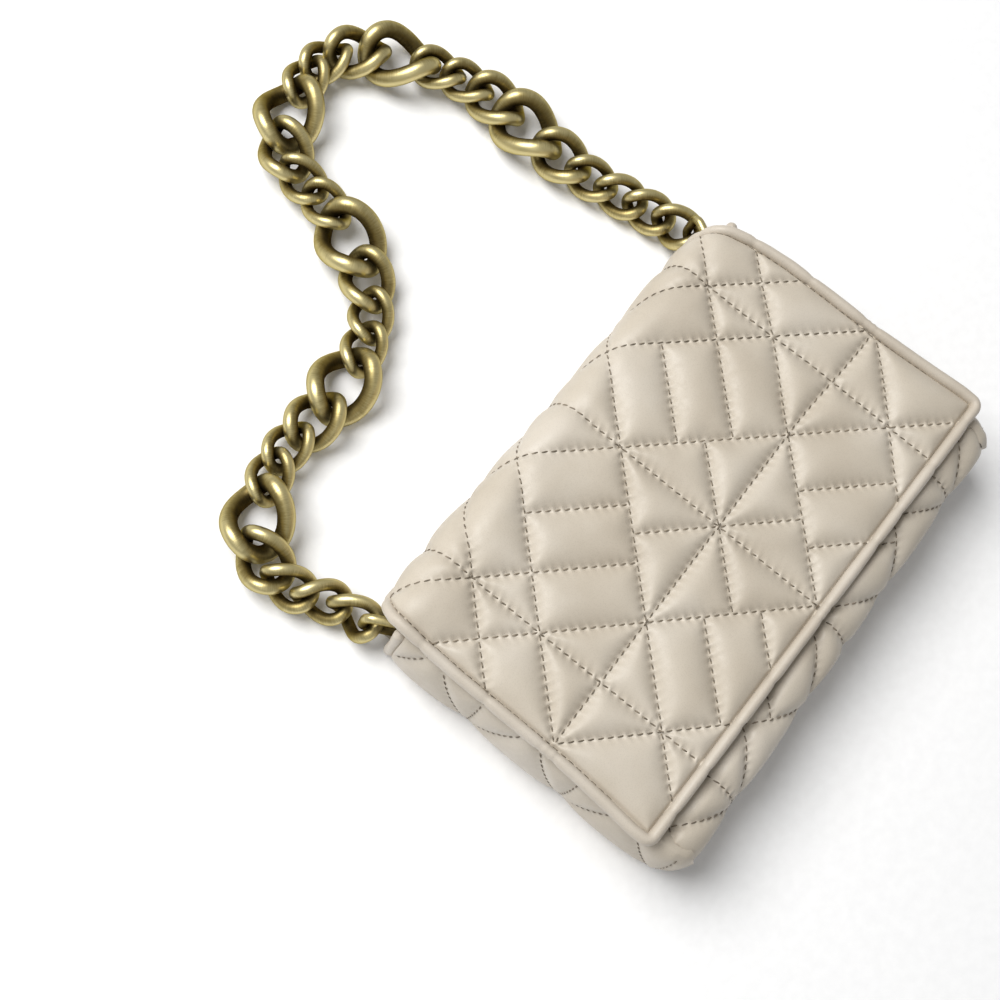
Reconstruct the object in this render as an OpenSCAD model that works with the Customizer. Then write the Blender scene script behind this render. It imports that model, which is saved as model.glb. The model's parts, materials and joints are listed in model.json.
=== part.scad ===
// Quilted leather shoulder bag with a front flap and a chain of twisted links.
// The bag lies on its back: X runs across it, Y up towards the chain, Z out of the front.
// The origin is the centre of the back, on the surface that the bag lies on.

/* [Body] */
// Width between the side seams
body_w = 220; // [180:1:280]
// Height of the back, from the base to the top seam
body_h = 154; // [130:1:200]
// Depth of the closed body
body_d = 45; // [40:0.5:70]
// How far the front and the sides stop below the back's top edge
mouth_drop = 10; // [8:0.5:16]
// Radius round the base, seen from the side
base_r = 15; // [11:0.5:19]
// Thickness of a side panel at its seams
gusset_seam_t = 4; // [3:0.25:6]
// How far a side panel swells at its middle
gusset_puff = 5; // [2:0.25:8]
// Radius of a side panel's lower end, seen from the front
gusset_foot_r = 8; // [5:0.5:8.5]

/* [Layers] */
// Leather with its quilted wadding
quilt_t = 5; // [3:0.25:6]
// Stiffening board
board_t = 2; // [1.5:0.1:3]
// Lining cloth
lining_t = 1; // [0.6:0.1:1.5]
// Thickness of the rolled bindings round the mouth
binding_d = 5; // [3:0.25:6]
// Height of the binding on the front's edge
mouth_binding_h = 2.5; // [2.4:0.1:3]
// Corner radius of that binding
mouth_binding_r = 1.2; // [0.6:0.1:1.2]

/* [Flap] */
// How much wider than the body the flap is at its fold
flap_fold_over = 0; // [-4:1:8]
// How much wider than the body the flap is at its lower edge
flap_edge_over = 13; // [4:1:20]
// How far the flap's lower edge stays above the base
flap_rise = 16; // [8:0.5:30]
// How far the fold lies below the back's top edge
fold_set = 6; // [4:0.5:7]
// Space between the strip over the mouth and the end links beside it
strip_gap = 2; // [1:0.25:12]
// How far that strip bulges out, as a share of its length
strip_bulge = 0.21; // [0.2:0.005:0.25]
// Height of the seam where the flap leaves the back
seam_z = 2; // [1.5:0.25:3]
// Leather of the flap
flap_leather_t = 2; // [1:0.1:3]
// Wadding of the flap
flap_wadding_t = 3; // [2:0.1:5]
// Diameter of the rolled rim
rim_d = 6; // [4:0.25:6]
// Corner radius of the flap's layers inside the rim
flap_corner_r = 2; // [1:0.5:8]
// Corner radius of the rim's centre line
rim_corner_r = 4.5; // [3.5:0.5:10]

/* [Snap] */
// Diameter of the magnets
magnet_d = 18; // [14:0.5:20]
// Depth of the magnet in the front
magnet_t = 2.5; // [2:0.1:3]
// Diameter of the locating nub
nub_d = 5.4; // [4:0.1:8]
// Length of that nub
nub_h = 1.4; // [1:0.1:1.6]
// Height of the snap above the base
magnet_rise = 35; // [30:0.5:60]
// Diameter of the backing washer
washer_d = 14; // [10:0.5:18]
// Thickness of the backing washer
washer_t = 0.8; // [0.5:0.1:1.2]

/* [Slip pocket] */
// Width of the pocket
pocket_w = 140; // [80:1:160]
// Height of the pocket
pocket_h = 80; // [50:1:90]
// Space inside the pocket
pocket_gap = 4.6; // [4.4:0.1:6]
// Distance of the pocket from the base
pocket_rise = 22; // [18:0.5:40]

/* [Rings and tabs] */
// Wire of the rectangular rings
ring_wire = 4; // [3:0.1:4.4]
// Width of a ring along its bar, between wire centres
ring_w = 18; // [16:0.5:20]
// Length of a ring from bar to bow, between wire centres
ring_l = 20; // [18:0.5:22]
// Corner radius of a ring's centre line
ring_corner_r = 4; // [3:0.25:5]
// Lean of a ring away from the width direction, in degrees
ring_lean = 62; // [58:1:66]
// Width of a leather tab
tab_w = 9.6; // [7:0.2:10]
// Length of a tab below its ring
tab_l = 20; // [12:1:30]
// Thickness of one layer of the tab
tab_t = 1.2; // [0.8:0.1:1.5]
// How far a ring's bar lies below the mouth
ring_drop = 1; // [0.5:0.25:3]

/* [Chain] */
// Clear length inside a small link
small_inner = 16.2; // [15.8:0.1:17]
// Width over a small link
small_w = 20.2; // [19.6:0.1:21]
// Wire of a small link
small_wire = 5.2; // [4.6:0.1:5.3]
// Clear length inside a medium link
medium_inner = 18.4; // [18:0.1:20]
// Width over a medium link
medium_w = 24.5; // [24:0.1:26]
// Wire of a medium link
medium_wire = 6.2; // [5.6:0.1:6.3]
// Clear length inside a big link
big_inner = 22.6; // [22.2:0.1:24.5]
// Width over a big link
big_w = 31; // [30.4:0.1:33]
// Wire of a big link
big_wire = 7.6; // [7:0.1:7.7]
// Twist of every link from end to end, in degrees
link_twist = 108; // [104:1:110]
// Play between two links that pull straight
link_play = 0.8; // [0.7:0.05:1]
// Extra play where the chain turns a corner
corner_play = 2.6; // [2.2:0.1:2.8]
// Most that one link can lie above or below the next
link_rise = 0.5; // [0.3:0.05:0.6]
// Slope of the two end links down from their rings, in degrees
end_slope = 22; // [20:1:24]
// How far towards the middle of the bag the end links hang on their bows
end_inset = 1; // [0.5:0.1:1.2]
// Height of the end links above the surface
end_lift = 0.8; // [0.4:0.1:1]

/* [Hidden] */
LEFT = -1;
RIGHT = 1;
leather = [0.84, 0.80, 0.75];
cloth = [0.78, 0.73, 0.66];
card = [0.60, 0.56, 0.50];
brass = [0.58, 0.50, 0.28];
// Running clearance of a pin in its loop, of soft pieces and of the snap
pin_fit = 0.08;
soft_gap = 0.3;
flap_gap = 0.4;
seat_gap = 0.65;
ring_floor_gap = 0.5;
nub_gap = 0.8;
magnet_proud = 0.1;
overrun = 10;
$fn = 64;

half_w = body_w / 2;
inner_half_w = half_w - lining_t;
base_y = -body_h / 2;
top_y = body_h / 2;
bend_y = base_y + base_r;
mouth_y = top_y - mouth_drop;
wall_t = quilt_t + board_t + lining_t;
strap_x = half_w + gusset_seam_t;

// Flap: heights above the surface, and the arc of the strip over the mouth
flap_low_z = body_d + flap_gap;
flap_lining_z = flap_low_z + lining_t;
flap_wadding_z = flap_lining_z + flap_wadding_t;
flap_top_z = flap_wadding_z + flap_leather_t;
flap_t = flap_top_z - flap_low_z;
flap_end_y = base_y + flap_rise;
flap_fold_w = body_w + flap_fold_over;
flap_edge_w = body_w + flap_edge_over;
fold = [top_y - fold_set, flap_top_z];
seam = [top_y, seam_z];
chord = norm(fold - seam);
bulge = chord * strip_bulge;
bulge_r = (chord * chord / 4 + bulge * bulge) / (2 * bulge);
chord_dir = (fold - seam) / chord;
bulge_dir = [chord_dir[1], -chord_dir[0]];
bulge_centre = (fold + seam) / 2 + bulge_dir * (bulge - bulge_r);
seam_angle = atan2(seam[1] - bulge_centre[1], seam[0] - bulge_centre[0]);
fold_angle = atan2(fold[1] - bulge_centre[1], fold[0] - bulge_centre[0]);

// Snap
magnet_y = base_y + magnet_rise;

// Rings: the bar of a ring lies in the tab's loop, the bow carries the chain
loop_r = ring_wire / 2 + pin_fit + tab_t;
ring_x = inner_half_w - loop_r - pin_fit;
ring_y = mouth_y - ring_drop;
ring_z = wall_t + (ring_w + ring_wire) / 2 + ring_floor_gap;
bow = [ring_x + ring_l * cos(ring_lean), ring_y + ring_l * sin(ring_lean)];

// Chain: 0 is a small link, 1 a medium and 2 a big one, from the right ring to the left
link_kind = [0, 0, 0, 0, 1, 2, 1, 0, 0, 2, 1, 0, 0, 2, 1,
             0, 0, 2, 1, 0, 0, 2, 1, 0, 0, 2, 1, 0, 0, 0];
link_inner = [small_inner, medium_inner, big_inner];
link_w = [small_w, medium_w, big_w];
link_wire = [small_wire, medium_wire, big_wire];
// Direction of each link on the surface, its roll, and its share of the corner play
heading = [91, 88, 91, 87, 80, 75, 79, 91, 99, 106, 124, 153, 181, 205, 240,
           268, 265, 254, 238, 222, 204, 193, 181, 185, 206, 214, 256, 283, 301, 273];
roll = [-37, -38, -36, -24, -14, 4, 0, 0, 0, 9, 1, 3, -1, 7, 14,
        22, 7, 9, 5, 7, 0, 0, 4, 2, 0, 12, 24, 36, 43, 53];
play_share = [0, 0.76, 0.07, 0.1, 0, 0.01, 0.69, 0.22, 0.59, 0, 0.32, 0.66, 0.39, 0.08, 0.61,
              0.03, 0, 0, 0.04, 0.24, 0, 0, 0, 0, 0.16, 0.16, 0.64, 0.42, 0.19, 0];
link_count = len(link_kind);
// The last link of the right-hand run; the left-hand run starts after it
corner_link = 13;
// A link's outline is a superellipse of this power
link_power = 2.4;
link_rings = 24;
wire_sides = 8;
rim_sides = 12;
rim_corner_steps = 4;

function kind(i) = link_kind[i - 1];
function half_length(i) = (link_inner[kind(i)] + link_wire[kind(i)]) / 2;
function half_width(i) = (link_w[kind(i)] - link_wire[kind(i)]) / 2;
function bar(i) = link_inner[kind(i)] - link_play - corner_play * play_share[i - 1];
function along(angle) = [cos(angle), sin(angle)];
function unit(v) = v / norm(v);
function signed_power(v, e) = sign(v) * pow(abs(v), e);
function total(list, n) = n < 1 ? [0, 0] : total(list, n - 1) + list[n - 1];

// Centre line of a link lying along X: a superellipse, twisted about X in step with X
function link_point(i, t) = let(
    x = half_length(i) * signed_power(cos(t), 2 / link_power),
    y = half_width(i) * signed_power(sin(t), 2 / link_power),
    twist = -link_twist / 2 * x / half_length(i)
) [x, y * cos(twist), y * sin(twist)];
function link_plane(i, t) = let(
    twist = -link_twist / 2 * link_point(i, t)[0] / half_length(i)
) [0, -sin(twist), cos(twist)];

// Height of a rolled and sloping link's centre when its lowest point meets the surface
function rest_height(i, slope) = link_wire[kind(i)] / 2 - min([
    for (k = [0 : link_rings * 2 - 1])
        let(p = link_point(i, k * 180 / link_rings))
        (p[1] * sin(roll[i - 1]) + p[2] * cos(roll[i - 1])) * cos(slope) - p[0] * abs(sin(slope))
]);

// The two end links hang on the bows and point straight up the bag
end_reach = half_length(1) * cos(end_slope);
end_link_y = bow[1] - ring_wire / 2 - seat_gap - small_wire / 2 + end_reach;
end_link_z = rest_height(1, end_slope) + end_lift;
end_link_x = bow[0] - end_inset;
pivot_y = end_link_y + bar(1) / 2;
// The strip over the mouth passes between the two end links
strip_w = 2 * (end_link_x - small_w / 2 - strip_gap);
right_pivot = [end_link_x, pivot_y];
left_pivot = [-end_link_x, pivot_y];

// Each run of links is turned about its pivot so that the two runs meet
right_bars = [for (i = [2 : corner_link]) bar(i) * along(heading[i - 1])];
left_bars = [for (i = [link_count - 1 : -1 : corner_link + 1]) -bar(i) * along(heading[i - 1])];
right_run = total(right_bars, len(right_bars));
left_run = total(left_bars, len(left_bars));
span = 2 * end_link_x;
meet_x = (pow(norm(right_run), 2) - pow(norm(left_run), 2) + span * span) / (2 * span);
meet = right_pivot + [-meet_x, sqrt(pow(norm(right_run), 2) - meet_x * meet_x)];
right_turn = atan2(meet[1] - right_pivot[1], meet[0] - right_pivot[0]) - atan2(right_run[1], right_run[0]);
left_turn = atan2(meet[1] - left_pivot[1], meet[0] - left_pivot[0]) - atan2(left_run[1], left_run[0]);

function direction(i) = heading[i - 1]
    + (i == 1 || i == link_count ? 0 : i <= corner_link ? right_turn : left_turn);
function turned(p, angle) = [p[0] * cos(angle) - p[1] * sin(angle), p[0] * sin(angle) + p[1] * cos(angle)];
function link_centre(i) = i <= corner_link
    ? right_pivot + turned(total(right_bars, i - 2) + right_bars[i - 2] / 2, right_turn)
    : left_pivot + turned(total(left_bars, link_count - 1 - i) + left_bars[link_count - 1 - i] / 2, left_turn);
rest_heights = [for (i = [2 : link_count - 1]) rest_height(i, 0)];
function link_height(i) = max([
    for (j = [2 : link_count - 1]) rest_heights[j - 2] - link_rise * abs(i - j)
]);

function link_name(i) = str("link_", i < 10 ? "0" : "", i);

// Turns a drawing of the side view, with Y to the right and Z up, into a solid across the bag
module across(width) {
    rotate([90, 0, 90])
        linear_extrude(width, center = true)
            children();
}

// A flat layer from y0 to y1 and z0 to z1
module layer(half, y0, y1, z0, z1) {
    translate([-half, y0, z0])
        cube([2 * half, y1 - y0, z1 - z0]);
}

// The body seen from the side, set in by the layers outside it
module body_side(inset, end_y) {
    translate([bend_y, inset])
        square([end_y - bend_y, body_d - 2 * inset]);
    translate([base_y + inset, base_r])
        square([base_r - inset, body_d - 2 * base_r]);
    for (z = [base_r, body_d - base_r])
        translate([bend_y, z])
            circle(r = base_r - inset);
}

// One layer of the base, which turns up into the back and the front
module base_layer(inset, t, half) {
    across(2 * half)
        intersection() {
            difference() {
                body_side(inset, mouth_y);
                body_side(inset + t, mouth_y + overrun);
            }
            translate([base_y, 0])
                square([base_r, body_d]);
        }
}

module back_panel() {
    color(leather)
        layer(half_w, bend_y, top_y, 0, quilt_t);
}

module back_board() {
    color(card)
        layer(inner_half_w, bend_y, top_y - lining_t, quilt_t, quilt_t + board_t);
}

module back_lining() {
    color(cloth)
        layer(inner_half_w, bend_y, top_y - lining_t, quilt_t + board_t, wall_t);
}

// The magnet sits in a recess, its legs go through to a washer behind the board
module front_panel() {
    color(leather)
        difference() {
            layer(half_w, bend_y, mouth_y, body_d - quilt_t, body_d);
            translate([0, magnet_y, body_d - magnet_t])
                cylinder(d = magnet_d, h = magnet_t + overrun);
        }
}

module front_board() {
    color(card)
        difference() {
            layer(inner_half_w, bend_y, mouth_y, body_d - quilt_t - board_t, body_d - quilt_t);
            translate([0, magnet_y, body_d - quilt_t - board_t - overrun])
                cylinder(d = washer_d, h = washer_t + overrun);
        }
}

module front_lining() {
    color(cloth)
        layer(inner_half_w, bend_y, mouth_y, body_d - wall_t, body_d - quilt_t - board_t);
}

module base_panel() {
    color(leather)
        base_layer(0, quilt_t, half_w);
}

module base_board() {
    color(card)
        base_layer(quilt_t, board_t, inner_half_w);
}

module base_lining() {
    color(cloth)
        base_layer(quilt_t + board_t, lining_t, inner_half_w);
}

// A side panel: the body's side outline, swollen across its depth and rounded at its foot
module gusset(side) {
    crown_r = (body_d * body_d / 4 + gusset_puff * gusset_puff) / (2 * gusset_puff);
    thick = gusset_seam_t + gusset_puff;
    color(leather)
        mirror([side < 0 ? 1 : 0, 0, 0])
            intersection() {
                translate([half_w + thick / 2, 0, 0])
                    across(thick)
                        body_side(0, mouth_y);
                translate([half_w + thick - crown_r, top_y + overrun, body_d / 2])
                    rotate([90, 0, 0])
                        cylinder(r = crown_r, h = body_h + 2 * overrun, $fn = 128);
                linear_extrude(body_d) {
                    translate([half_w, base_y + gusset_foot_r])
                        square([thick, body_h]);
                    translate([half_w, base_y])
                        square([thick - gusset_foot_r, gusset_foot_r]);
                    translate([half_w + thick - gusset_foot_r, base_y + gusset_foot_r])
                        circle(r = gusset_foot_r);
                }
            }
}

module gusset_lining(side) {
    color(cloth)
        translate([side * (half_w - lining_t / 2), 0, 0])
            across(lining_t)
                body_side(quilt_t, mouth_y);
}

// Rolled binding on the upper end of a side panel, flat where it is sewn on
module gusset_binding(side) {
    r = binding_d / 2;
    color(leather)
        difference() {
            translate([side * strap_x, mouth_y + r - soft_gap, 0])
                union() {
                    translate([0, 0, binding_d])
                        cylinder(r = r, h = body_d - 2 * binding_d);
                    for (z = [binding_d, body_d - binding_d])
                        translate([0, 0, z])
                            sphere(r = r);
                }
            translate([side * strap_x - binding_d, mouth_y - binding_d, 0])
                cube([2 * binding_d, binding_d, body_d]);
        }
}

module front_mouth_binding() {
    color(leather)
        across(2 * inner_half_w) {
            translate([mouth_y, body_d - wall_t])
                square([mouth_binding_h - mouth_binding_r, wall_t]);
            translate([mouth_y, body_d - wall_t + mouth_binding_r])
                square([mouth_binding_h, wall_t - 2 * mouth_binding_r]);
            for (z = [body_d - wall_t + mouth_binding_r, body_d - mouth_binding_r])
                translate([mouth_y + mouth_binding_h - mouth_binding_r, z])
                    circle(r = mouth_binding_r);
        }
}

// A flat pocket sewn to the back lining along its base and sides
module slip_pocket() {
    low_y = base_y + pocket_rise;
    color(cloth)
        difference() {
            layer(pocket_w / 2, low_y, low_y + pocket_h, wall_t, wall_t + pocket_gap + lining_t);
            layer(pocket_w / 2 - lining_t, low_y + lining_t, low_y + pocket_h + overrun,
                  wall_t - overrun, wall_t + pocket_gap);
        }
}

// Part of the strip over the mouth, between two radii, from the seam to the fold.
// It stays clear of the top edge of the back.
module strip(inner_r, outer_r) {
    reach = 2 * outer_r;
    across(strip_w)
        difference() {
            translate(bulge_centre)
                intersection() {
                    difference() {
                        circle(r = outer_r, $fn = 128);
                        circle(r = inner_r, $fn = 128);
                    }
                    polygon([[0, 0], reach * along(seam_angle), reach * along(0), reach * along(fold_angle)]);
                }
            translate([top_y + soft_gap - reach, wall_t + soft_gap - reach])
                square([reach, reach]);
        }
}

module flap_back() {
    color(leather)
        strip(bulge_r - flap_t + lining_t, bulge_r);
}

module flap_back_lining() {
    color(cloth)
        strip(bulge_r - flap_t, bulge_r - flap_t + lining_t);
}

// Where the flap starts at height z, so that it meets the strip along a mitre
function mitre_y(z) = fold[0] + (cos(fold_angle) * (z - fold[1]) - soft_gap) / sin(fold_angle);

// Half the width of the flap at y, set in from its edge
function flap_half(y, inset) = let(
    share = (fold[0] - y) / (fold[0] - flap_end_y)
) (flap_fold_w + (flap_edge_w - flap_fold_w) * share) / 2 - inset;

// Flap seen from the front, set in from its edge, with round lower corners
module flap_outline(inset) {
    low_y = flap_end_y + inset;
    r = flap_corner_r;
    far_y = fold[0] + overrun;
    half_low = flap_half(low_y + r, inset);
    polygon(concat(
        [[-flap_half(far_y, inset), far_y], [flap_half(far_y, inset), far_y]],
        [for (a = [0 : -15 : -90]) [half_low - r + r * cos(a), low_y + r + r * sin(a)]],
        [for (a = [-90 : -15 : -180]) [-half_low + r + r * cos(a), low_y + r + r * sin(a)]]
    ));
}

// Keeps what lies below the fold's mitre
module below_fold() {
    low_z = flap_low_z - overrun;
    high_z = flap_top_z + overrun;
    intersection() {
        union()
            children();
        across(2 * flap_edge_w)
            polygon([[flap_end_y - overrun, low_z], [mitre_y(low_z), low_z],
                     [mitre_y(high_z), high_z], [flap_end_y - overrun, high_z]]);
    }
}

// One flat layer of the flap inside its rim
module flap_layer(z0, z1) {
    below_fold()
        translate([0, 0, z0])
            linear_extrude(z1 - z0)
                flap_outline(rim_d + pin_fit);
}

// A round rod between two points
module rod(from, to, r) {
    run = to - from;
    translate(from)
        rotate([0, acos(run[2] / norm(run)), atan2(run[1], run[0])])
            cylinder(r = r, h = norm(run));
}

// The rolled rim down both sides and along the lower edge, with round corners: a tube swept
// through sections that face outwards. Its two ends are cut to the fold's mitre.
module flap_rim() {
    r = rim_d / 2;
    low_y = flap_end_y + r;
    mid_z = (flap_low_z + flap_top_z) / 2;
    splay = atan2((flap_edge_w - flap_fold_w) / 2, fold[0] - flap_end_y);
    bend = [
        flap_half(low_y + rim_corner_r * (1 + sin(splay)), r) - rim_corner_r * cos(splay),
        low_y + rim_corner_r
    ];
    top_end = [flap_half(mitre_y(mid_z), r), mitre_y(mid_z)];
    right = [for (k = [0 : rim_corner_steps])
        let(a = splay - (90 + splay) * k / rim_corner_steps)
        [bend + rim_corner_r * along(a), a]];
    left = [for (k = [rim_corner_steps : -1 : 0])
        [[-right[k][0][0], right[k][0][1]], -180 - right[k][1]]];
    sections = concat([[top_end, splay]], right, left, [[[-top_end[0], top_end[1]], -180 - splay]]);
    last = len(sections) - 1;
    points = [
        for (k = [0 : last])
            for (s = [0 : rim_sides - 1])
                let(
                    turn = (s + 0.5) * 360 / rim_sides,
                    z = mid_z + r * sin(turn),
                    flat = sections[k][0] + r * cos(turn) * along(sections[k][1]),
                    cut = k == 0 || k == last ? (mitre_y(z) - flat[1]) / cos(splay) : 0,
                    slide = cut * (k == 0 ? along(90 + splay) : along(90 - splay))
                )
                [flat[0] + slide[0], flat[1] + slide[1], z]
    ];
    sides = [
        for (k = [0 : last - 1])
            for (s = [0 : rim_sides - 1])
                let(
                    s2 = (s + 1) % rim_sides,
                    a = k * rim_sides + s,
                    b = k * rim_sides + s2
                )
                each [[a, a + rim_sides, b + rim_sides], [a, b + rim_sides, b]]
    ];
    ends = [
        for (s = [1 : rim_sides - 2])
            each [[0, s, s + 1],
                  [last * rim_sides, last * rim_sides + s + 1, last * rim_sides + s]]
    ];
    color(leather)
        polyhedron(points, concat(sides, ends));
}

module flap_panel() {
    color(leather)
        flap_layer(flap_wadding_z, flap_top_z);
}

module flap_wadding() {
    color(cloth)
        difference() {
            flap_layer(flap_lining_z, flap_wadding_z);
            translate([0, magnet_y, flap_lining_z - overrun])
                cylinder(d = washer_d, h = washer_t + overrun);
        }
}

module flap_lining() {
    color(leather)
        difference() {
            flap_layer(flap_low_z, flap_lining_z);
            translate([0, magnet_y, flap_low_z - overrun])
                cylinder(d = magnet_d, h = flap_t + overrun);
        }
}

module magnet_front() {
    hole_d = nub_d + 2 * nub_gap;
    color(brass)
        translate([0, magnet_y, body_d - magnet_t])
            difference() {
                cylinder(d = magnet_d, h = magnet_t + magnet_proud);
                translate([0, 0, magnet_t + magnet_proud - nub_h - soft_gap])
                    cylinder(d = hole_d, h = nub_h + overrun);
            }
}

module magnet_washer() {
    color(brass)
        translate([0, magnet_y, body_d - quilt_t - board_t])
            cylinder(d = washer_d, h = washer_t);
}

// Flap half of the snap: a disc in the lining, its nub below and its backing above
module magnet_flap() {
    color(brass)
        translate([0, magnet_y, flap_low_z]) {
            cylinder(d = magnet_d, h = lining_t);
            translate([0, 0, lining_t])
                cylinder(d = washer_d, h = washer_t);
            translate([0, 0, -nub_h])
                cylinder(d = nub_d, h = nub_h + lining_t);
        }
}

// A leather strap folded round the ring's bar, its two layers sewn to the side lining
module tab(side) {
    color(leather)
        mirror([side < 0 ? 1 : 0, 0, 0])
            translate([0, 0, ring_z - tab_w / 2])
                difference() {
                    union() {
                        translate([ring_x, ring_y, 0])
                            cylinder(r = loop_r, h = tab_w);
                        translate([inner_half_w - 2 * tab_t, ring_y - tab_l, 0])
                            cube([2 * tab_t, tab_l, tab_w]);
                    }
                    translate([ring_x, ring_y, -overrun])
                        cylinder(r = loop_r - tab_t, h = tab_w + 2 * overrun);
                }
}

// Rectangular ring of round wire in the XY plane: bar on the Y axis, bow at ring_l
module ring_wire_loop() {
    r = ring_wire / 2;
    half = ring_w / 2;
    for (x = [0, ring_l])
        rod([x, ring_corner_r - half, 0], [x, half - ring_corner_r, 0], r);
    for (y = [-half, half])
        rod([ring_corner_r, y, 0], [ring_l - ring_corner_r, y, 0], r);
    for (turn = [0, 180])
        translate([ring_l / 2, 0, 0])
            rotate([0, 0, turn])
                for (y = [-1, 1])
                    translate([ring_l / 2 - ring_corner_r, y * (half - ring_corner_r), 0])
                        rotate([0, 0, y < 0 ? -90 : 0])
                            rotate_extrude(angle = 90)
                                translate([ring_corner_r, 0])
                                    circle(r = r, $fn = 32);
}

module ring(side) {
    color(brass)
        mirror([side < 0 ? 1 : 0, 0, 0])
            translate([ring_x, ring_y, ring_z])
                rotate([0, 0, ring_lean])
                    rotate([90, 0, 0])
                        ring_wire_loop();
}

// A twisted link: round wire swept along its centre line
module link_solid(i) {
    r = link_wire[kind(i)] / 2;
    step = 360 / link_rings;
    points = [
        for (k = [0 : link_rings - 1])
            let(
                t = k * step,
                run = unit(link_point(i, t + 1) - link_point(i, t - 1)),
                flat = link_plane(i, t),
                up = unit(flat - run * (flat * run)),
                out = cross(run, up)
            )
            for (s = [0 : wire_sides - 1])
                link_point(i, t) + r * (out * cos(s * 360 / wire_sides) + up * sin(s * 360 / wire_sides))
    ];
    faces = [
        for (k = [0 : link_rings - 1])
            for (s = [0 : wire_sides - 1])
                let(
                    k2 = (k + 1) % link_rings,
                    s2 = (s + 1) % wire_sides,
                    a = k * wire_sides + s,
                    b = k * wire_sides + s2,
                    c = k2 * wire_sides + s2,
                    d = k2 * wire_sides + s
                )
                each [[a, b, c], [a, c, d]]
    ];
    polyhedron(points, faces);
}

module link(i) {
    first = i == 1;
    last = i == link_count;
    place = first ? [end_link_x, end_link_y, end_link_z]
        : last ? [-end_link_x, end_link_y, end_link_z]
        : concat(link_centre(i), [link_height(i)]);
    slope = first ? end_slope : last ? -end_slope : 0;
    color(brass)
        translate(place)
            rotate([0, 0, direction(i)])
                rotate([0, slope, 0])
                    rotate([roll[i - 1], 0, 0])
                        link_solid(i);
}

back_panel();
back_board();
back_lining();
front_panel();
front_board();
front_lining();
base_panel();
base_board();
base_lining();
gusset(LEFT);  // left_gusset
gusset(RIGHT);  // right_gusset
gusset_lining(LEFT);  // left_gusset_lining
gusset_lining(RIGHT);  // right_gusset_lining
gusset_binding(LEFT);  // left_gusset_binding
gusset_binding(RIGHT);  // right_gusset_binding
front_mouth_binding();
slip_pocket();
flap_back();
flap_back_lining();
flap_panel();
flap_wadding();
flap_lining();
flap_rim();
magnet_front();
magnet_washer();
magnet_flap();
tab(LEFT);  // left_tab
tab(RIGHT);  // right_tab
ring(LEFT);  // left_ring
ring(RIGHT);  // right_ring
for (i = [1 : link_count])
    link(i);
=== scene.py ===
import json

import bpy
import numpy as np
from mathutils import Matrix, Vector


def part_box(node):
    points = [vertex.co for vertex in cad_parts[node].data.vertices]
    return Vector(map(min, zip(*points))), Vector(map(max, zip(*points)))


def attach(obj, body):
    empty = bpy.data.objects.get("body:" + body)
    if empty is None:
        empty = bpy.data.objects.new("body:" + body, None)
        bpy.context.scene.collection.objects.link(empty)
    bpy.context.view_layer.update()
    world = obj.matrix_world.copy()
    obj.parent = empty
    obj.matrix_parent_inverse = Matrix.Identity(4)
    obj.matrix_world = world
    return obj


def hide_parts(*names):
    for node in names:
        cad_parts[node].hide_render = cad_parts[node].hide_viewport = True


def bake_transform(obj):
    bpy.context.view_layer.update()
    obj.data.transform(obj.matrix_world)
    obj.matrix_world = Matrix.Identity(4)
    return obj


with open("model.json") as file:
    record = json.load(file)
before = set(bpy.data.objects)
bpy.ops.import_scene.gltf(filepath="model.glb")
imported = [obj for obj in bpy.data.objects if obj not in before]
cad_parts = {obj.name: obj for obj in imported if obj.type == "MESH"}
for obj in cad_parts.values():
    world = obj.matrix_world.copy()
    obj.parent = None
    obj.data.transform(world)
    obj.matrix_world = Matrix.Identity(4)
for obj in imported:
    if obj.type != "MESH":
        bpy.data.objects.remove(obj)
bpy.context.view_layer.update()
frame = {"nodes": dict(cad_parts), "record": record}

# All lengths below are millimetres in the part's own frame: X across the bag, Y from the base to
# the chain, Z out of the front. They become metres where a mesh is made.
MM = 0.001
TAU = 2 * np.pi

# Sizes shared with the solids
BODY_HALF = 110.0          # side seams of the body
BASE_Y, TOP_Y, MOUTH_Y = -77.0, 77.0, 67.0
BODY_D, BASE_R = 45.0, 15.0
WALL = 8.0                 # leather, board and lining
INNER_HALF = 109.0
FLAP_TOP_Z = 51.4
FLAP_END_Y = -61.0
FOLD_Y = 71.0
BEND_Y, BEND_Z = 66.0, 33.0        # where the flap's bend over the mouth starts and ends
BEND_DEEP, BEND_HIGH, BEND_POWER = 14.2, 18.4, 2.3
BACK_SEAM_Y, BACK_SEAM_Z = 77.0, 2.0
STRIP_HALF = 101.9
HANDS = (("right", 1), ("left", -1))

# Quilting: the upright and level lines stand 84 grid units apart, which is 81 mm on the leather, and
# slanting ones cross the upright middle line at these two heights in grid units
GRID_STEP = 84
QUILT_UNIT = 81.0 / GRID_STEP
SLANT_LOW, SLANT_HIGH = 52.5, 115.5
NODE_Y = -3.0              # height of the star where the middle lines cross
STITCH_PITCH = 3.9
SEAM_SINK = 2.2            # how far the seams lie below the solid's face
PUFF = 5.2                 # how far the leather rises between two seams
RIM_W, RIM_H = 4.9, 6.3    # rolled rim of the flap, across and through
RIM_SUNK = -2.9            # the rim's middle line, from the profile's face
TUCK_SUNK = -3.2           # edges of leather that are tucked in under the rim
FACING_SUNK = -5.75        # smooth leather on the flap's underside


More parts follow.
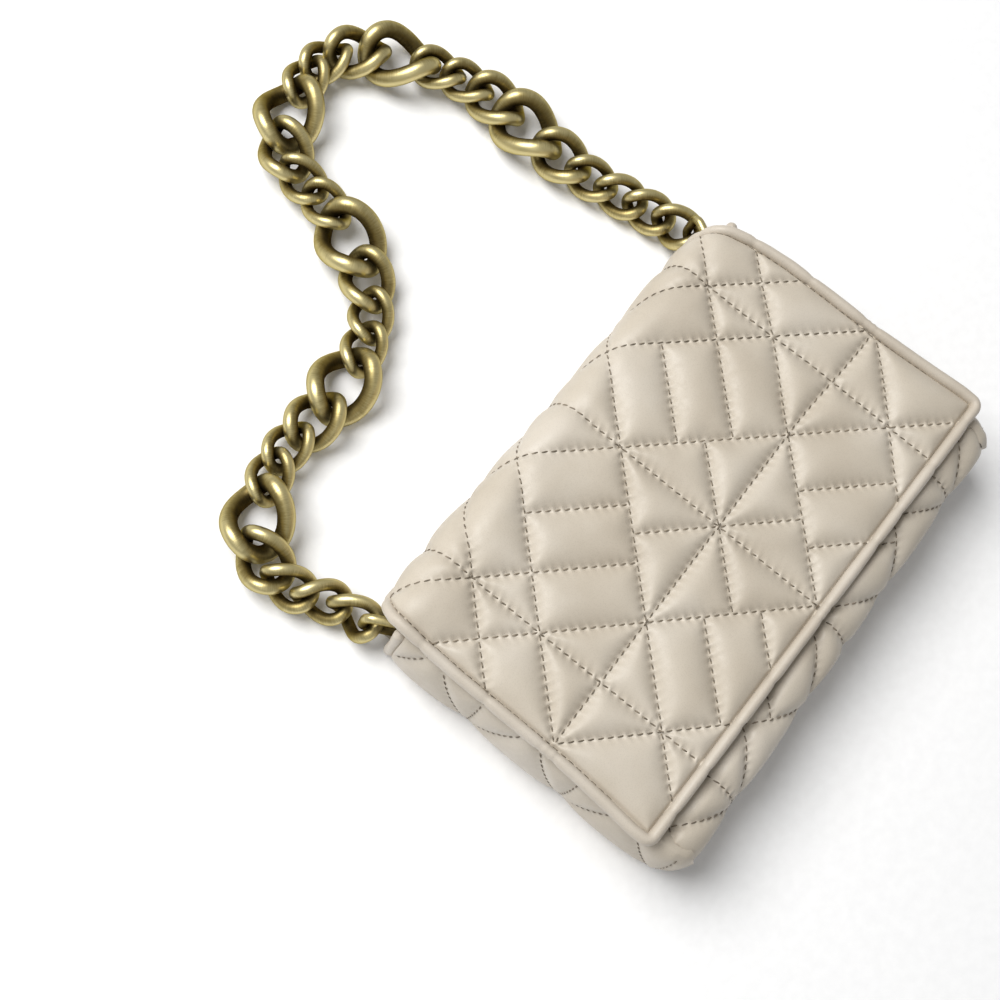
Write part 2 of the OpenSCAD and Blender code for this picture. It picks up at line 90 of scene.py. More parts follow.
# Mesh helpers
def new_piece(name, verts, faces, material, smooth=True, uv=None, attributes=None):
    """A mesh object from points in millimetres and a list or array of faces."""
    mesh = bpy.data.meshes.new(name)
    verts = np.asarray(verts, float).reshape(-1, 3) * MM
    if isinstance(faces, np.ndarray):
        count, corners = faces.shape
        mesh.vertices.add(len(verts))
        mesh.vertices.foreach_set("co", verts.astype(np.float32).ravel())
        mesh.loops.add(count * corners)
        mesh.loops.foreach_set("vertex_index", faces.astype(np.int32).ravel())
        mesh.polygons.add(count)
        mesh.polygons.foreach_set("loop_start", np.arange(0, count * corners, corners, dtype=np.int32))
    else:
        mesh.from_pydata(verts.tolist(), [], faces)
    mesh.update(calc_edges=True)
    mesh.validate()
    mesh.polygons.foreach_set("use_smooth", np.full(len(mesh.polygons), smooth))
    for key, values in (attributes or {}).items():
        layer = mesh.attributes.new(key, "FLOAT", "POINT")
        layer.data.foreach_set("value", np.asarray(values, np.float32).ravel())
    if uv is not None:
        loops = np.empty(len(mesh.loops), np.int32)
        mesh.loops.foreach_get("vertex_index", loops)
        mesh.uv_layers.new(name="UVMap").data.foreach_set("uv", np.asarray(uv, np.float32)[loops].ravel())
    piece = bpy.data.objects.new(name, mesh)
    bpy.context.scene.collection.objects.link(piece)
    mesh.materials.append(material)
    return piece


def grid_faces(rows, columns, wrap_rows=False, wrap_columns=False, flip=False):
    """Quads of a grid whose point (r, c) has the number r * columns + c."""
    r = np.arange(rows if wrap_rows else rows - 1)
    c = np.arange(columns if wrap_columns else columns - 1)
    r, c = np.meshgrid(r, c, indexing="ij")
    r2, c2 = (r + 1) % rows, (c + 1) % columns
    quads = np.stack([r * columns + c, r * columns + c2, r2 * columns + c2, r2 * columns + c], -1)
    quads = quads.reshape(-1, 4)
    return quads[:, ::-1].copy() if flip else quads


def unit(v):
    return v / np.maximum(np.linalg.norm(v, axis=-1, keepdims=True), 1e-9)


def smoothstep(x, low, high):
    """0 below low, 1 above high and 3t^2 - 2t^3 between them."""
    t = np.clip((x - low) / (high - low), 0, 1)
    return t * t * (3 - 2 * t)


def length_along(line):
    """Length from the start of a line to each of its points."""
    return np.concatenate([[0], np.cumsum(np.linalg.norm(np.diff(line, axis=0), axis=1))])


def border(rows, columns):
    """Pairs of neighbouring points all the way round the border of a grid, first along its first row."""
    last = rows * columns - 1
    loop = list(range(columns)) + [columns * k + columns - 1 for k in range(1, rows)]
    loop += [last - k for k in range(1, columns)] + [columns * k for k in range(rows - 2, 0, -1)]
    return zip(loop, loop[1:] + loop[:1])


def tube(path, side, lift, across, through, ring=16):
    """Point(k, a) = path[k] + across[k] cos(a) side[k] + through[k] sin(a) lift[k], with a from 0 to a
    full turn: an oval section carried along a path. Returns points and faces, its ends closed."""
    across = np.broadcast_to(across, len(path))[:, None, None]
    through = np.broadcast_to(through, len(path))[:, None, None]
    a = np.arange(ring) * TAU / ring
    points = (path[:, None] + across * np.cos(a)[None, :, None] * side[:, None]
              + through * np.sin(a)[None, :, None] * lift[:, None])
    points, quads = points.reshape(-1, 3), grid_faces(len(path), ring, wrap_columns=True)
    first, last = list(range(ring)), list(range(len(points) - ring, len(points)))
    if np.dot(np.cross(side[0], lift[0]), path[1] - path[0]) > 0:
        ends = [tuple(first[::-1]), tuple(last)]
    else:
        quads, ends = quads[:, ::-1], [tuple(first), tuple(last[::-1])]
    return points, [tuple(q) for q in quads.tolist()] + ends


def joined(parts):
    """Several (points, faces) pairs as one."""
    points, faces, start = [], [], 0
    for p, f in parts:
        points.append(p)
        faces += [tuple(i + start for i in face) for face in f]
        start += len(p)
    return np.concatenate(points), faces


def profile_place(x, t, lift, lengths, line, outward):
    """The point at x across the bag and t along a side view, raised by lift from the view's line."""
    at = [np.interp(t, lengths, line[:, k]) + lift * np.interp(t, lengths, outward[:, k]) for k in (0, 1)]
    return np.stack([x, *at], -1)


def settle(piece, body, slot, *nodes):
    """Says which body a piece rides on and which nodes it stands for; slot, for what it is made of, is not
    used.
    """
    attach(piece, body)
    if nodes:
        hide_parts(*nodes)


# Quilting
def flap_quilting():
    """Seams of the flap as rows x1, y1, x2, y2 in grid units: upright and level lines, slanting lines
    y = c - x, and the same mirrored in x."""
    lines = [(k * GRID_STEP, -110, k * GRID_STEP, 190) for k in (-1, 0, 1)] + [(-160, 0, 160, 0)]
    slant = [(c - 200, 200, c + 200, -200) for c in (-SLANT_LOW, SLANT_LOW, SLANT_HIGH, 150.5)]
    slant += [(-SLANT_HIGH - 100, 100, -SLANT_HIGH + 110, -110)]
    slant += [(-190, 172.5, -35, 17.5), (17.5, -35, 49, -66.5), (-49, 66.5, -17.5, 35),
              (35, -17.5, 66.5, -49), (-26.25, 26.25, 26.25, -26.25)]
    lines += slant + [(-a, b, -c, d) for a, b, c, d in slant]
    return np.array(lines, float)


def lattice_quilting(low, high):
    """The same motif repeated on the whole grid, for the body: full lines y = c - x, with c from the two
    heights of the flap's in steps of two grid steps, and the short bars between two stars. Only lines
    within 20 units of the box from low to high, in millimetres, are kept."""
    reach, cells = 400, range(-4, 5)
    lines = [(k * GRID_STEP, -reach, k * GRID_STEP, reach) for k in cells]
    lines += [(-reach, k * GRID_STEP, reach, k * GRID_STEP) for k in cells]
    starts = [c + 2 * GRID_STEP * k for k in cells for c in (SLANT_LOW, SLANT_HIGH)]
    slant = [(c - reach, reach, c + reach, -reach) for c in starts]
    bars = [(-26.25, 26.25, 26.25, -26.25), (-66.5, 49, -35, 17.5), (-49, 66.5, -17.5, 35)]
    for x, y in [(i * GRID_STEP, j * GRID_STEP) for i in cells for j in cells if (i + j) % 2 == 0]:
        slant += [(a + x, b + y, c + x, d + y) for a, b, c, d in bars]
    lines += slant + [(-a, b, -c, d) for a, b, c, d in slant]
    lines = np.unique(np.round(np.array(lines, float), 3), axis=0)
    box_low, box_high = np.minimum(lines[:, :2], lines[:, 2:]), np.maximum(lines[:, :2], lines[:, 2:])
    below, above = np.array(high) / QUILT_UNIT + 20, np.array(low) / QUILT_UNIT - 20
    return lines[((box_low < below) & (box_high > above)).all(1)]


def stitch_count(length):
    return np.maximum(np.round(length / STITCH_PITCH), 1)


def beside(seam, s, t):
    """How s, t lie beside a seam: the seam's length, the length along it to its nearest point, the signed
    distance across its direction and the distance off it."""
    x1, y1, x2, y2 = seam
    length = np.hypot(x2 - x1, y2 - y1)
    ux, uy = (x2 - x1) / length, (y2 - y1) / length
    along = np.clip((s - x1) * ux + (t - y1) * uy, 0, length)
    off = np.hypot(s - x1 - along * ux, t - y1 - along * uy)
    return length, along, (t - y1) * ux - (s - x1) * uy, off


def quilt(s, t, seams, edges=(), puff=PUFF, seed=0.0):
    """Height of quilted leather at s, t in millimetres. With D the distance to each seam,
    d = (sum of (D^2 + groove^2)^(-power/2))^(-1/power) is a soft distance to the nearest seam and the
    height is puff * (1 - exp(-d / reach)). Every stitch draws the leather in beside it, exp(-D / 1.15) deep,
    in slanting gathers, and between two stitches the leather closes over the groove in a small bump."""
    groove, reach, power = 0.45, 6.2, 3.0
    total, gather, bump = np.zeros(s.shape), np.zeros(s.shape), np.zeros(s.shape)
    for number, seam in enumerate(np.asarray(seams) * QUILT_UNIT):
        length, along, across, off = beside(seam, s, t)
        across = np.clip(across, -4, 4)
        total += (off * off + groove * groove) ** (-power / 2)
        wave = 0.5 - 0.5 * np.cos(TAU * (along / length * stitch_count(length) + 0.09 * across))
        slow = 0.7 + 0.3 * np.sin(along / 5.3 + number * 2.4 + seed) * np.sin(along / 13.0 + number)
        gather += slow * wave * np.exp(-off / 1.15) * (1 - np.exp(-off / 0.5))
        bump = np.maximum(bump, (1 - wave) ** 3 * np.exp(-(off / 0.8) ** 2) * slow)
    for off in edges:
        total += (np.maximum(off, 0) ** 2 + groove * groove) ** (-power / 2)
    d = total ** (-1 / power) - groove * 0.8
    # broad swells, so that no two cushions rise alike
    swell = 1 + 0.10 * np.sin(s / 23.0 + 1.3 + seed) * np.sin(t / 19.0 + 0.4)
    swell = swell + 0.05 * np.sin(s / 9.0 - t / 11.0 + seed)
    return puff * (swell * (1 - np.exp(-d / reach)) - 0.25 * gather + 0.13 * bump)


def stitch_places(seams, keep):
    """Middle points and directions of the stitches on every seam, in millimetres, where keep(s, t) holds."""
    places = []
    for x1, y1, x2, y2 in np.asarray(seams) * QUILT_UNIT:
        length = np.hypot(x2 - x1, y2 - y1)
        count = int(stitch_count(length))
        along = (np.arange(count) + 0.5) * length / count
        u = np.array([x2 - x1, y2 - y1]) / length
        p = np.array([x1, y1]) + along[:, None] * u
        # a lockstitch lies about 8 degrees across its seam
        u = np.array([u[0] - 0.14 * u[1], u[1] + 0.14 * u[0]])
        places.append(np.concatenate([p, np.broadcast_to(u, p.shape)], 1))
    places = np.concatenate(places)
    return places[keep(places[:, 0], places[:, 1])]


# A stitch of thread: five rings of six points, sunk at both ends, as (along, radius, height) shares
STITCH_RINGS = np.array([[-0.5, 0.15, -1.0], [-0.36, 0.85, -0.1], [0, 1.0, 0.35],
                         [0.36, 0.85, -0.1], [0.5, 0.15, -1.0]])
STITCH_ENDS = np.array([[3, 2, 1, 0], [5, 4, 3, 0], [24, 25, 26, 27], [24, 27, 28, 29]])


def stitches(name, place, surface, material, length=3.2, thick=0.6, lift=0.12):
    """One mesh of all the stitches. A stitch at (s, t) is a small spindle on the leather:
    point = surface + along * run + radius * (cos a * side + 0.7 sin a * normal)."""
    s, t, us, ut = place.T
    step = 0.4
    here = surface(s, t)
    run = unit(surface(s + us * step, t + ut * step) - surface(s - us * step, t - ut * step))
    side = unit(surface(s - ut * step, t + us * step) - surface(s + ut * step, t - us * step))
    normal = unit(np.cross(run, side))
    a = np.arange(6) * TAU / 6
    ring = np.stack([np.cos(a), 0.7 * np.sin(a)], -1) * thick / 2
    along, radius, height = STITCH_RINGS.T
    wide = radius[:, None] * ring[:, 0]
    high = radius[:, None] * ring[:, 1] + height[:, None] * thick * 0.6 + lift
    offset = (along[None, :, None, None] * length * run[:, None, None]
              + wide[None, :, :, None] * side[:, None, None] + high[None, :, :, None] * normal[:, None, None])
    points = here[:, None, None] + offset
    first = (np.arange(len(s)) * 30)[:, None, None]
    faces = [(quads + first).reshape(-1, 4) for quads in (grid_faces(5, 6, wrap_columns=True), STITCH_ENDS)]
    return new_piece(name, points.reshape(-1, 3), np.concatenate(faces), material)


# The flap's outside
def flap_profile():
    """Side view of the flap's outer face from beyond its lower edge up the front, over the fold and down to
    the back seam: flat, a quarter of |(y - 66) / 14.2|^2.3 + |(z - 33) / 18.4|^2.3 = 1, and then
    y = 80.2 - 3.2 ((33 - z) / 31)^2. Returns the length t along it, its points and outward directions."""
    y = np.arange(FLAP_END_Y - 20, BEND_Y, 0.5)
    flat = np.stack([y, np.full(len(y), FLAP_TOP_Z)], -1)
    a = np.linspace(np.pi / 2, 0, 240)
    bend = np.stack([BEND_Y + BEND_DEEP * np.cos(a) ** (2 / BEND_POWER),
                     BEND_Z + BEND_HIGH * np.sin(a) ** (2 / BEND_POWER)], -1)
    z = np.linspace(BEND_Z, BACK_SEAM_Z, 100)[1:]
    crown = BEND_Y + BEND_DEEP
    down = np.stack([crown - (crown - BACK_SEAM_Y) * ((BEND_Z - z) / (BEND_Z - BACK_SEAM_Z)) ** 2, z], -1)
    line = np.concatenate([flat, bend, down])
    length = length_along(line)
    even = np.arange(0, length[-1], 0.25)
    points = np.stack([np.interp(even, length, line[:, k]) for k in (0, 1)], -1)
    run = unit(np.gradient(points, axis=0))
    outward = np.stack([-run[:, 1], run[:, 0]], -1)
    return even + flat[0, 0] - NODE_Y, points, outward


PROFILE_T, PROFILE_YZ, PROFILE_OUT = flap_profile()
FOLD_T, SEAM_T = FOLD_Y - NODE_Y, PROFILE_T[-1]
LOW_T = FLAP_END_Y - NODE_Y
SPLIT_T = (FOLD_T + SEAM_T) / 2 + 6    # where the flap's front ends and its strip starts
FLAP_SEAMS = flap_quilting()


# Half the flap's width at heights t, read off the photograph; the strip over the mouth is narrower,
# because the chain's ends stand beside it
HALF_T = [-60, -47, -34, -17, -5, 23, 43, 53, 63, 71, 78, 86, 92, 97, 140]
HALF_LEFT = [120.0, 120.2, 119.0, 117.8, 117.2, 116.9, 116.6, 116.2,
             115.8, 115.4, 114.6, 111.8, 107.5, STRIP_HALF, STRIP_HALF]
HALF_RIGHT = [120.0, 120.0, 118.8, 117.4, 116.7, 116.2, 115.5, 114.4,
              112.8, 110.4, 107.6, 103.6, STRIP_HALF, STRIP_HALF, STRIP_HALF]


def flap_half(x, t):
    """Distance of the flap's side edge from the middle at height t, on the side that x is on."""
    return np.where(np.asarray(x) < 0, np.interp(t, HALF_T, HALF_LEFT), np.interp(t, HALF_T, HALF_RIGHT))


def flap_low(x):
    """The lower edge slants a little: it is 4 mm higher at its left end and 1 mm lower at its right."""
    return LOW_T + 1.5 - 2.5 * np.clip(x / 115, -1, 1)


def slanted(x, t):
    """Moves heights t, counted from a level lower edge, to the slanting one, less and less upwards."""
    return t + (flap_low(x) - LOW_T) * np.clip((SPLIT_T - t) / (SPLIT_T - LOW_T), 0, 1.1)


def flap_shift(x, t):
    """How far the quilting is stretched outwards at the lower right corner, as on the photographed bag."""
    share = smoothstep(x, 55, 108) * (1 - smoothstep(t, 5, 50))
    return 2.6 * share, -2.6 * share


def flap_place(x, t, lift):
    """The point at x across and t along the flap, raised by lift from the profile's face."""
    x, t, lift = np.broadcast_arrays(x, t, lift)
    # over the left end of the fold the leather stands out further
    belly = 2.4 * smoothstep(-x, -30, 90) * smoothstep(t, 52, 86) * (1 - smoothstep(t, 100, SEAM_T))
    return profile_place(x, t, lift + belly, PROFILE_T, PROFILE_YZ, PROFILE_OUT)


def flap_relief(x, t):
    """Height of the flap's leather over its profile: quilting that gets flatter where the flap bends and
    towards its seam on the back, with a ditch 1.2 mm deep beside the rim."""
    ditch = flap_half(x, t) - RIM_W + 0.1
    edges = [ditch - np.abs(x), t - (flap_low(x) + RIM_W - 0.1)]
    shift_x, shift_t = flap_shift(x, t)
    bent = smoothstep(t, BEND_Y - NODE_Y - 6, BEND_Y - NODE_Y + 8)
    fade = 1 - 0.5 * bent - 0.3 * smoothstep(t, SEAM_T - 12, SEAM_T - 1)
    level = -SEAM_SINK + 0.5 * (1 - (x / 112.0) ** 2) + 1.3 * bent - 1.6 * smoothstep(t, SEAM_T - 16, SEAM_T)
    level = level - 1.2 * np.exp(-(np.minimum(*edges) / 0.8) ** 2)
    return level + fade * quilt(x - shift_x, t - shift_t, FLAP_SEAMS, edges)


def flap_surface(x, t):
    return flap_place(x, t, flap_relief(x, t))


# Materials
def srgb(text):
    """A colour written as sRGB hex, as the linear values that a shader takes."""
    c = np.array([int(text[i:i + 2], 16) for i in (1, 3, 5)]) / 255
    return tuple(np.where(c <= 0.04045, c / 12.92, ((c + 0.055) / 1.055) ** 2.4)) + (1.0,)


def feed(tree, node, links=(), **inputs):
    """Sets a node's own sockets by name, with _ for a space, and makes links (socket, other output)."""
    for key, value in inputs.items():
        node.inputs[key.replace("_", " ")].default_value = value
    for socket, other in links:
        tree.links.new(other, node.inputs[socket])


def add_node(tree, kind, links=(), settings=(), **inputs):
    """Adds a node, with settings as (attribute, value), and feeds it."""
    node = tree.nodes.new(kind)
    for key, value in settings:
        setattr(node, key, value)
    feed(tree, node, links, **inputs)
    return node


def multiply_add(tree, source, factor, other):
    """The output source * factor + other, where other is an output too or a plain number."""
    node = add_node(tree, "ShaderNodeMath", [(0, source)], [("operation", "MULTIPLY_ADD")])
    node.inputs[1].default_value = factor
    if isinstance(other, float):
        node.inputs[2].default_value = other
    else:
        tree.links.new(other, node.inputs[2])
    return node.outputs[0]


def new_material(name):
    material = bpy.data.materials.new(name)
    material.use_nodes = True
    tree = material.node_tree
    shader = tree.nodes["Principled BSDF"]
    return material, tree, shader


def ramp(tree, source, stops):
    """The output of a colour ramp on source with stops (place, hex colour or plain number)."""
    node = add_node(tree, "ShaderNodeValToRGB", [("Fac", source)])
    while len(node.color_ramp.elements) < len(stops):
        node.color_ramp.elements.new(0.5)
    for element, (place, colour) in zip(node.color_ramp.elements, stops):
        element.position = place
        element.color = srgb(colour) if isinstance(colour, str) else (colour, colour, colour, 1)
    return node.outputs["Color"]


def leather(name, tones, grain_mm=0.55, crease=0.25, roughness=(0.40, 0.56)):
    """Nappa lambskin: drum dyed, finely pored, with a soft satin finish. The pores are drawn as cells of
    about half a millimetre, coarser than real ones so that they show, over faint creases of 2 to 6 mm;
    broad clouds of tone come from the dye, and the gloss goes up and down with the creases."""
    material, tree, shader = new_material(name)
    place = [("Vector", add_node(tree, "ShaderNodeTexCoord").outputs["Object"])]
    clouds = add_node(tree, "ShaderNodeTexNoise", place, Scale=1 / 0.045, Detail=3.0, Roughness=0.55)
    tone = ramp(tree, clouds.outputs["Fac"], [(0.30, tones[0]), (0.52, tones[1]), (0.72, tones[2])])
    pores = add_node(tree, "ShaderNodeTexVoronoi", place, Scale=1 / (grain_mm * MM))
    wrinkle = add_node(tree, "ShaderNodeTexNoise", place, Scale=1 / 0.0035, Detail=4.0, Roughness=0.6,
                       Distortion=0.6).outputs["Fac"]
    fine = ramp(tree, pores.outputs["Distance"], [(0.0, 0.0), (0.45, 1.0)])
    worn = ramp(tree, wrinkle, [(0.35, roughness[0]), (0.7, roughness[1])])
    # the pores are up to 12% darker than the skin round them
    shade = add_node(tree, "ShaderNodeMix", settings=[("data_type", "RGBA"), ("blend_type", "MULTIPLY")])
    shade.inputs["Factor"].default_value = 0.12
    skin, pore = [socket for socket in shade.inputs if socket.type == "RGBA"]
    tree.links.new(tone, skin)
    tree.links.new(fine, pore)
    shaded = next(socket for socket in shade.outputs if socket.type == "RGBA")
    first = add_node(tree, "ShaderNodeBump", [("Height", wrinkle)], Strength=crease, Distance=0.00035)
    second = add_node(tree, "ShaderNodeBump", [("Height", fine), ("Normal", first.outputs["Normal"])],
                      Strength=0.22, Distance=0.00008)
    feed(tree, shader, [("Roughness", worn), ("Base Color", shaded), ("Normal", second.outputs["Normal"])],
         Specular_IOR_Level=0.42, Sheen_Weight=0.05)
    return material


def thread(name, colour, dark):
    """Bonded polyester thread: two plies, smooth, dyed to match the leather. It is darker than the leather,
    partly in its own tone and partly by painted shade of the groove it lies in.
    """
    material, tree, shader = new_material(name)
    place = [("Vector", add_node(tree, "ShaderNodeTexCoord").outputs["Object"])]
    ply = add_node(tree, "ShaderNodeTexWave", place, [("bands_direction", "DIAGONAL")], Scale=1 / 0.0045,
                   Distortion=1.5)
    tone = ramp(tree, ply.outputs["Fac"], [(0.2, dark), (0.75, colour)])
    feed(tree, shader, [("Base Color", tone)], Roughness=0.55)
    return material


def antique_brass(name):
    """Brass, oxidised dark, then brushed and lacquered: pale gold where rubbing has worn it, olive brown in
    the crevices. The brushing runs round the wire in fine lines, drawn about 0.3 mm apart so that they show.
    The attribute worn is high where a place stands out and wears, and low where the wire faces into its
    link: patina there, and painted shade."""
    material, tree, shader = new_material(name)
    coord = add_node(tree, "ShaderNodeTexCoord")
    uv = add_node(tree, "ShaderNodeMapping", [("Vector", coord.outputs["UV"])])
    uv.inputs["Scale"].default_value = (1 / (0.15 * MM), 1 / (4 * MM), 1)
    brushing = add_node(tree, "ShaderNodeTexNoise", [("Vector", uv.outputs["Vector"])], Scale=0.5, Detail=3.0,
                        Roughness=0.6).outputs["Fac"]
    patches = add_node(tree, "ShaderNodeTexNoise", [("Vector", coord.outputs["Object"])], Scale=1 / 0.006,
                       Detail=4.0, Roughness=0.65).outputs["Fac"]
    # worn is high where the wire faces out of its link and low where it faces in, so the dark end of the ramp
    # is patina and painted shade on the inner faces
    worn = add_node(tree, "ShaderNodeAttribute", settings=[("attribute_name", "worn")]).outputs["Fac"]
    level = multiply_add(tree, worn, 0.62, 0.04)
    level = multiply_add(tree, brushing, 0.30, level)
    level = multiply_add(tree, patches, 0.30, level)
    tone = ramp(tree, level, [(0.22, "#2A2214"), (0.45, "#635634"), (0.66, "#938455"), (0.90, "#CFC28F")])
    gloss = ramp(tree, level, [(0.25, 0.54), (0.85, 0.38)])
    bump = add_node(tree, "ShaderNodeBump", [("Height", brushing)], Strength=0.35, Distance=0.00006)
    # the tint darkens the metal's reflections at a glancing angle: a painted reflection of darker
    # surroundings
    feed(tree, shader, [("Base Color", tone), ("Roughness", gloss), ("Normal", bump.outputs["Normal"])],
         Metallic=1.0, Specular_Tint=srgb("#8A8266"))
    return material


def woven(name, light, dark):
    """Cotton twill: diagonal ribs of yarn, matt, with slight slubs. The ribs are drawn about 1.3 mm apart,
    coarser than real ones, so that they show."""
    material, tree, shader = new_material(name)
    place = [("Vector", add_node(tree, "ShaderNodeTexCoord").outputs["Object"])]
    rib = add_node(tree, "ShaderNodeTexWave", place, [("bands_direction", "DIAGONAL")],
                   Scale=1 / (0.9 * MM) / 3.2, Distortion=0.8, Detail=2.0, Detail_Scale=2.0)
    slub = add_node(tree, "ShaderNodeTexNoise", place, Scale=1 / 0.003, Detail=4.0)
    mixed = multiply_add(tree, slub.outputs["Fac"], 0.5, rib.outputs["Fac"])
    tone = ramp(tree, mixed, [(0.2, dark), (1.1, light)])
    bump = add_node(tree, "ShaderNodeBump", [("Height", mixed)], Strength=0.5, Distance=0.00015)
    feed(tree, shader, [("Base Color", tone), ("Normal", bump.outputs["Normal"])], Roughness=0.85,
         Sheen_Weight=0.15)
    return material


def pressed_board(name, light, dark, fibre_mm):
    """Grey board or felted wadding: short fibres pressed flat, quite matt."""
    material, tree, shader = new_material(name)
    place = [("Vector", add_node(tree, "ShaderNodeTexCoord").outputs["Object"])]
    fibre = add_node(tree, "ShaderNodeTexNoise", place, Scale=1 / (fibre_mm * MM), Detail=5.0,
                     Distortion=1.2).outputs["Fac"]
    tone = ramp(tree, fibre, [(0.35, dark), (0.65, light)])
    bump = add_node(tree, "ShaderNodeBump", [("Height", fibre)], Strength=0.4, Distance=0.0002)
    feed(tree, shader, [("Base Color", tone), ("Normal", bump.outputs["Normal"])], Roughness=0.9)
    return material


cream_nappa = leather("cream_nappa_leather", ("#BDB2A1", "#C6BCAC", "#CEC5B7"))
rolled_nappa = leather("rolled_nappa_edge", ("#BFB4A4", "#C7BDAE", "#CFC6B9"), crease=0.35)
plain_nappa = leather("plain_facing_leather", ("#B6AB9A", "#BEB3A3", "#C5BBAD"), grain_mm=0.7, crease=0.15,
                      roughness=(0.5, 0.62))
# the thread's brown grey is partly its own tone and partly painted shade of the groove each stitch lies in
thread_with_groove_shade = thread("polyester_thread_with_groove_shade", "#8B7F6E", "#655B4C")
brass_chain = antique_brass("antique_brass_lacquered")
cotton_twill = woven("cotton_twill_lining", "#CDBFAA", "#A6967F")
grey_board = pressed_board("pressed_grey_board", "#A89F8F", "#857B6B", 1.2)
soft_wadding = pressed_board("polyester_wadding", "#F0EDE6", "#D6D1C6", 2.5)


# Chain. Each link has its kind, which picks its three sizes, its heading and roll in degrees and its share
# of the play in a corner
LINK_KIND = [0, 0, 0, 0, 1, 2, 1, 0, 0, 2, 1, 0, 0, 2, 1, 0, 0, 2, 1, 0, 0, 2, 1, 0, 0, 2, 1, 0, 0, 0]
LINK_INNER, LINK_W, LINK_WIRE = (16.2, 18.4, 22.6), (20.2, 24.5, 31.0), (5.2, 6.2, 7.6)
HEADING = [91, 88, 91, 87, 80, 75, 79, 91, 99, 106, 124, 153, 181, 205, 240,
           268, 265, 254, 238, 222, 204, 193, 181, 185, 206, 214, 256, 283, 301, 273]
ROLL = [-37, -38, -36, -24, -14, 4, 0, 0, 0, 9, 1, 3, -1, 7, 14,
        22, 7, 9, 5, 7, 0, 0, 4, 2, 0, 12, 24, 36, 43, 53]
PLAY_SHARE = [0, 0.76, 0.07, 0.1, 0, 0.01, 0.69, 0.22, 0.59, 0, 0.32, 0.66, 0.39, 0.08, 0.61,
              0.03, 0, 0, 0.04, 0.24, 0, 0, 0, 0, 0.16, 0.16, 0.64, 0.42, 0.19, 0]
LINK_TWIST, LINK_POWER, LINK_PLAY, CORNER_PLAY, LINK_RISE = 108.0, 2.4, 0.8, 2.6, 0.5
CORNER_LINK, END_SLOPE, END_LIFT = 13, 22.0, 0.8
RING_WIRE, RING_W, RING_L, RING_CORNER, RING_LEAN = 4.0, 18.0, 20.0, 4.0, 62.0
RING_X, RING_Y, RING_Z, SEAT_GAP, END_INSET = 105.64, 66.0, 19.5, 0.65, 1.0
BOW_X = RING_X + RING_L * np.cos(np.radians(RING_LEAN))
BOW_Y = RING_Y + RING_L * np.sin(np.radians(RING_LEAN))
LINK_STEPS = 96


def turn(degrees, axis):
    """Rotation matrix about axis 0, 1 or 2."""
    c, s = np.cos(np.radians(degrees)), np.sin(np.radians(degrees))
    a, b = ((1, 2), (2, 0), (0, 1))[axis]
    m = np.eye(3)
    m[a, a] = m[b, b] = c
    m[a, b], m[b, a] = -s, s
    return m


def link_line(kind, t):
    """Centre line of a link: a superellipse |x/a|^2.4 + |y/b|^2.4 = 1, twisted about X in step with x."""
    a, b = (LINK_INNER[kind] + LINK_WIRE[kind]) / 2, (LINK_W[kind] - LINK_WIRE[kind]) / 2
    x = a * np.sign(np.cos(t)) * np.abs(np.cos(t)) ** (2 / LINK_POWER)
    y = b * np.sign(np.sin(t)) * np.abs(np.sin(t)) ** (2 / LINK_POWER)
    twist = -np.radians(LINK_TWIST) / 2 * x / a
    return np.stack([x, y * np.cos(twist), y * np.sin(twist)], -1), twist


def rest_height(i, slope):
    """Height of a rolled and sloping link's centre when its lowest point meets the surface."""
    p, _ = link_line(LINK_KIND[i], np.arange(48) * np.pi / 24)
    roll, tilt = np.radians(ROLL[i]), np.radians(slope)
    return LINK_WIRE[LINK_KIND[i]] / 2 - ((p[:, 1] * np.sin(roll) + p[:, 2] * np.cos(roll)) * np.cos(tilt)
                                          - p[:, 0] * abs(np.sin(tilt))).min()


def chain_layout():
    """Centre and turning of every link, as in the solids: two runs of bars from the two rings, each turned
    about its pivot so that they meet, and heights that differ by at most half a millimetre."""
    count = len(LINK_KIND)
    heading = np.radians(np.array(HEADING, float))
    bar = np.array([LINK_INNER[k] - LINK_PLAY - CORNER_PLAY * s for k, s in zip(LINK_KIND, PLAY_SHARE)])
    bars = bar[:, None] * np.stack([np.cos(heading), np.sin(heading)], -1)
    reach = (LINK_INNER[0] + LINK_WIRE[0]) / 2 * np.cos(np.radians(END_SLOPE))
    end_y = BOW_Y - RING_WIRE / 2 - SEAT_GAP - LINK_WIRE[0] / 2 + reach
    end_z = rest_height(0, END_SLOPE) + END_LIFT
    end_x = BOW_X - END_INSET
    pivot = {s: np.array([s * end_x, end_y + bar[0] / 2]) for s in (1, -1)}
    runs = {1: bars[1:CORNER_LINK], -1: -bars[count - 2:CORNER_LINK - 1:-1]}
    right, left, span = runs[1].sum(0), runs[-1].sum(0), 2 * end_x
    meet_x = (right @ right - left @ left + span * span) / (2 * span)
    meet = pivot[1] + [-meet_x, np.sqrt(right @ right - meet_x ** 2)]
    angle = lambda v: np.degrees(np.arctan2(v[1], v[0]))
    turned = {1: angle(meet - pivot[1]) - angle(right), -1: angle(meet - pivot[-1]) - angle(left)}
    rests = np.array([rest_height(i, 0) for i in range(1, count - 1)])
    layout = []
    for i in range(count):
        if i in (0, count - 1):
            side = 1 if i == 0 else -1
            centre = np.array([side * end_x, end_y, end_z])
            spin = turn(HEADING[i], 2) @ turn(side * END_SLOPE, 1)
        else:
            side = 1 if i < CORNER_LINK else -1
            k = i - 1 if side == 1 else count - 2 - i
            flat = runs[side][:k].sum(0) + runs[side][k] / 2
            flat = pivot[side] + turn(turned[side], 2)[:2, :2] @ flat
            height = (rests - LINK_RISE * np.abs(i - np.arange(1, count - 1))).max()
            centre, spin = np.array([*flat, height]), turn(HEADING[i] + turned[side], 2)
        layout.append((centre, spin @ turn(ROLL[i], 0)))
    return layout


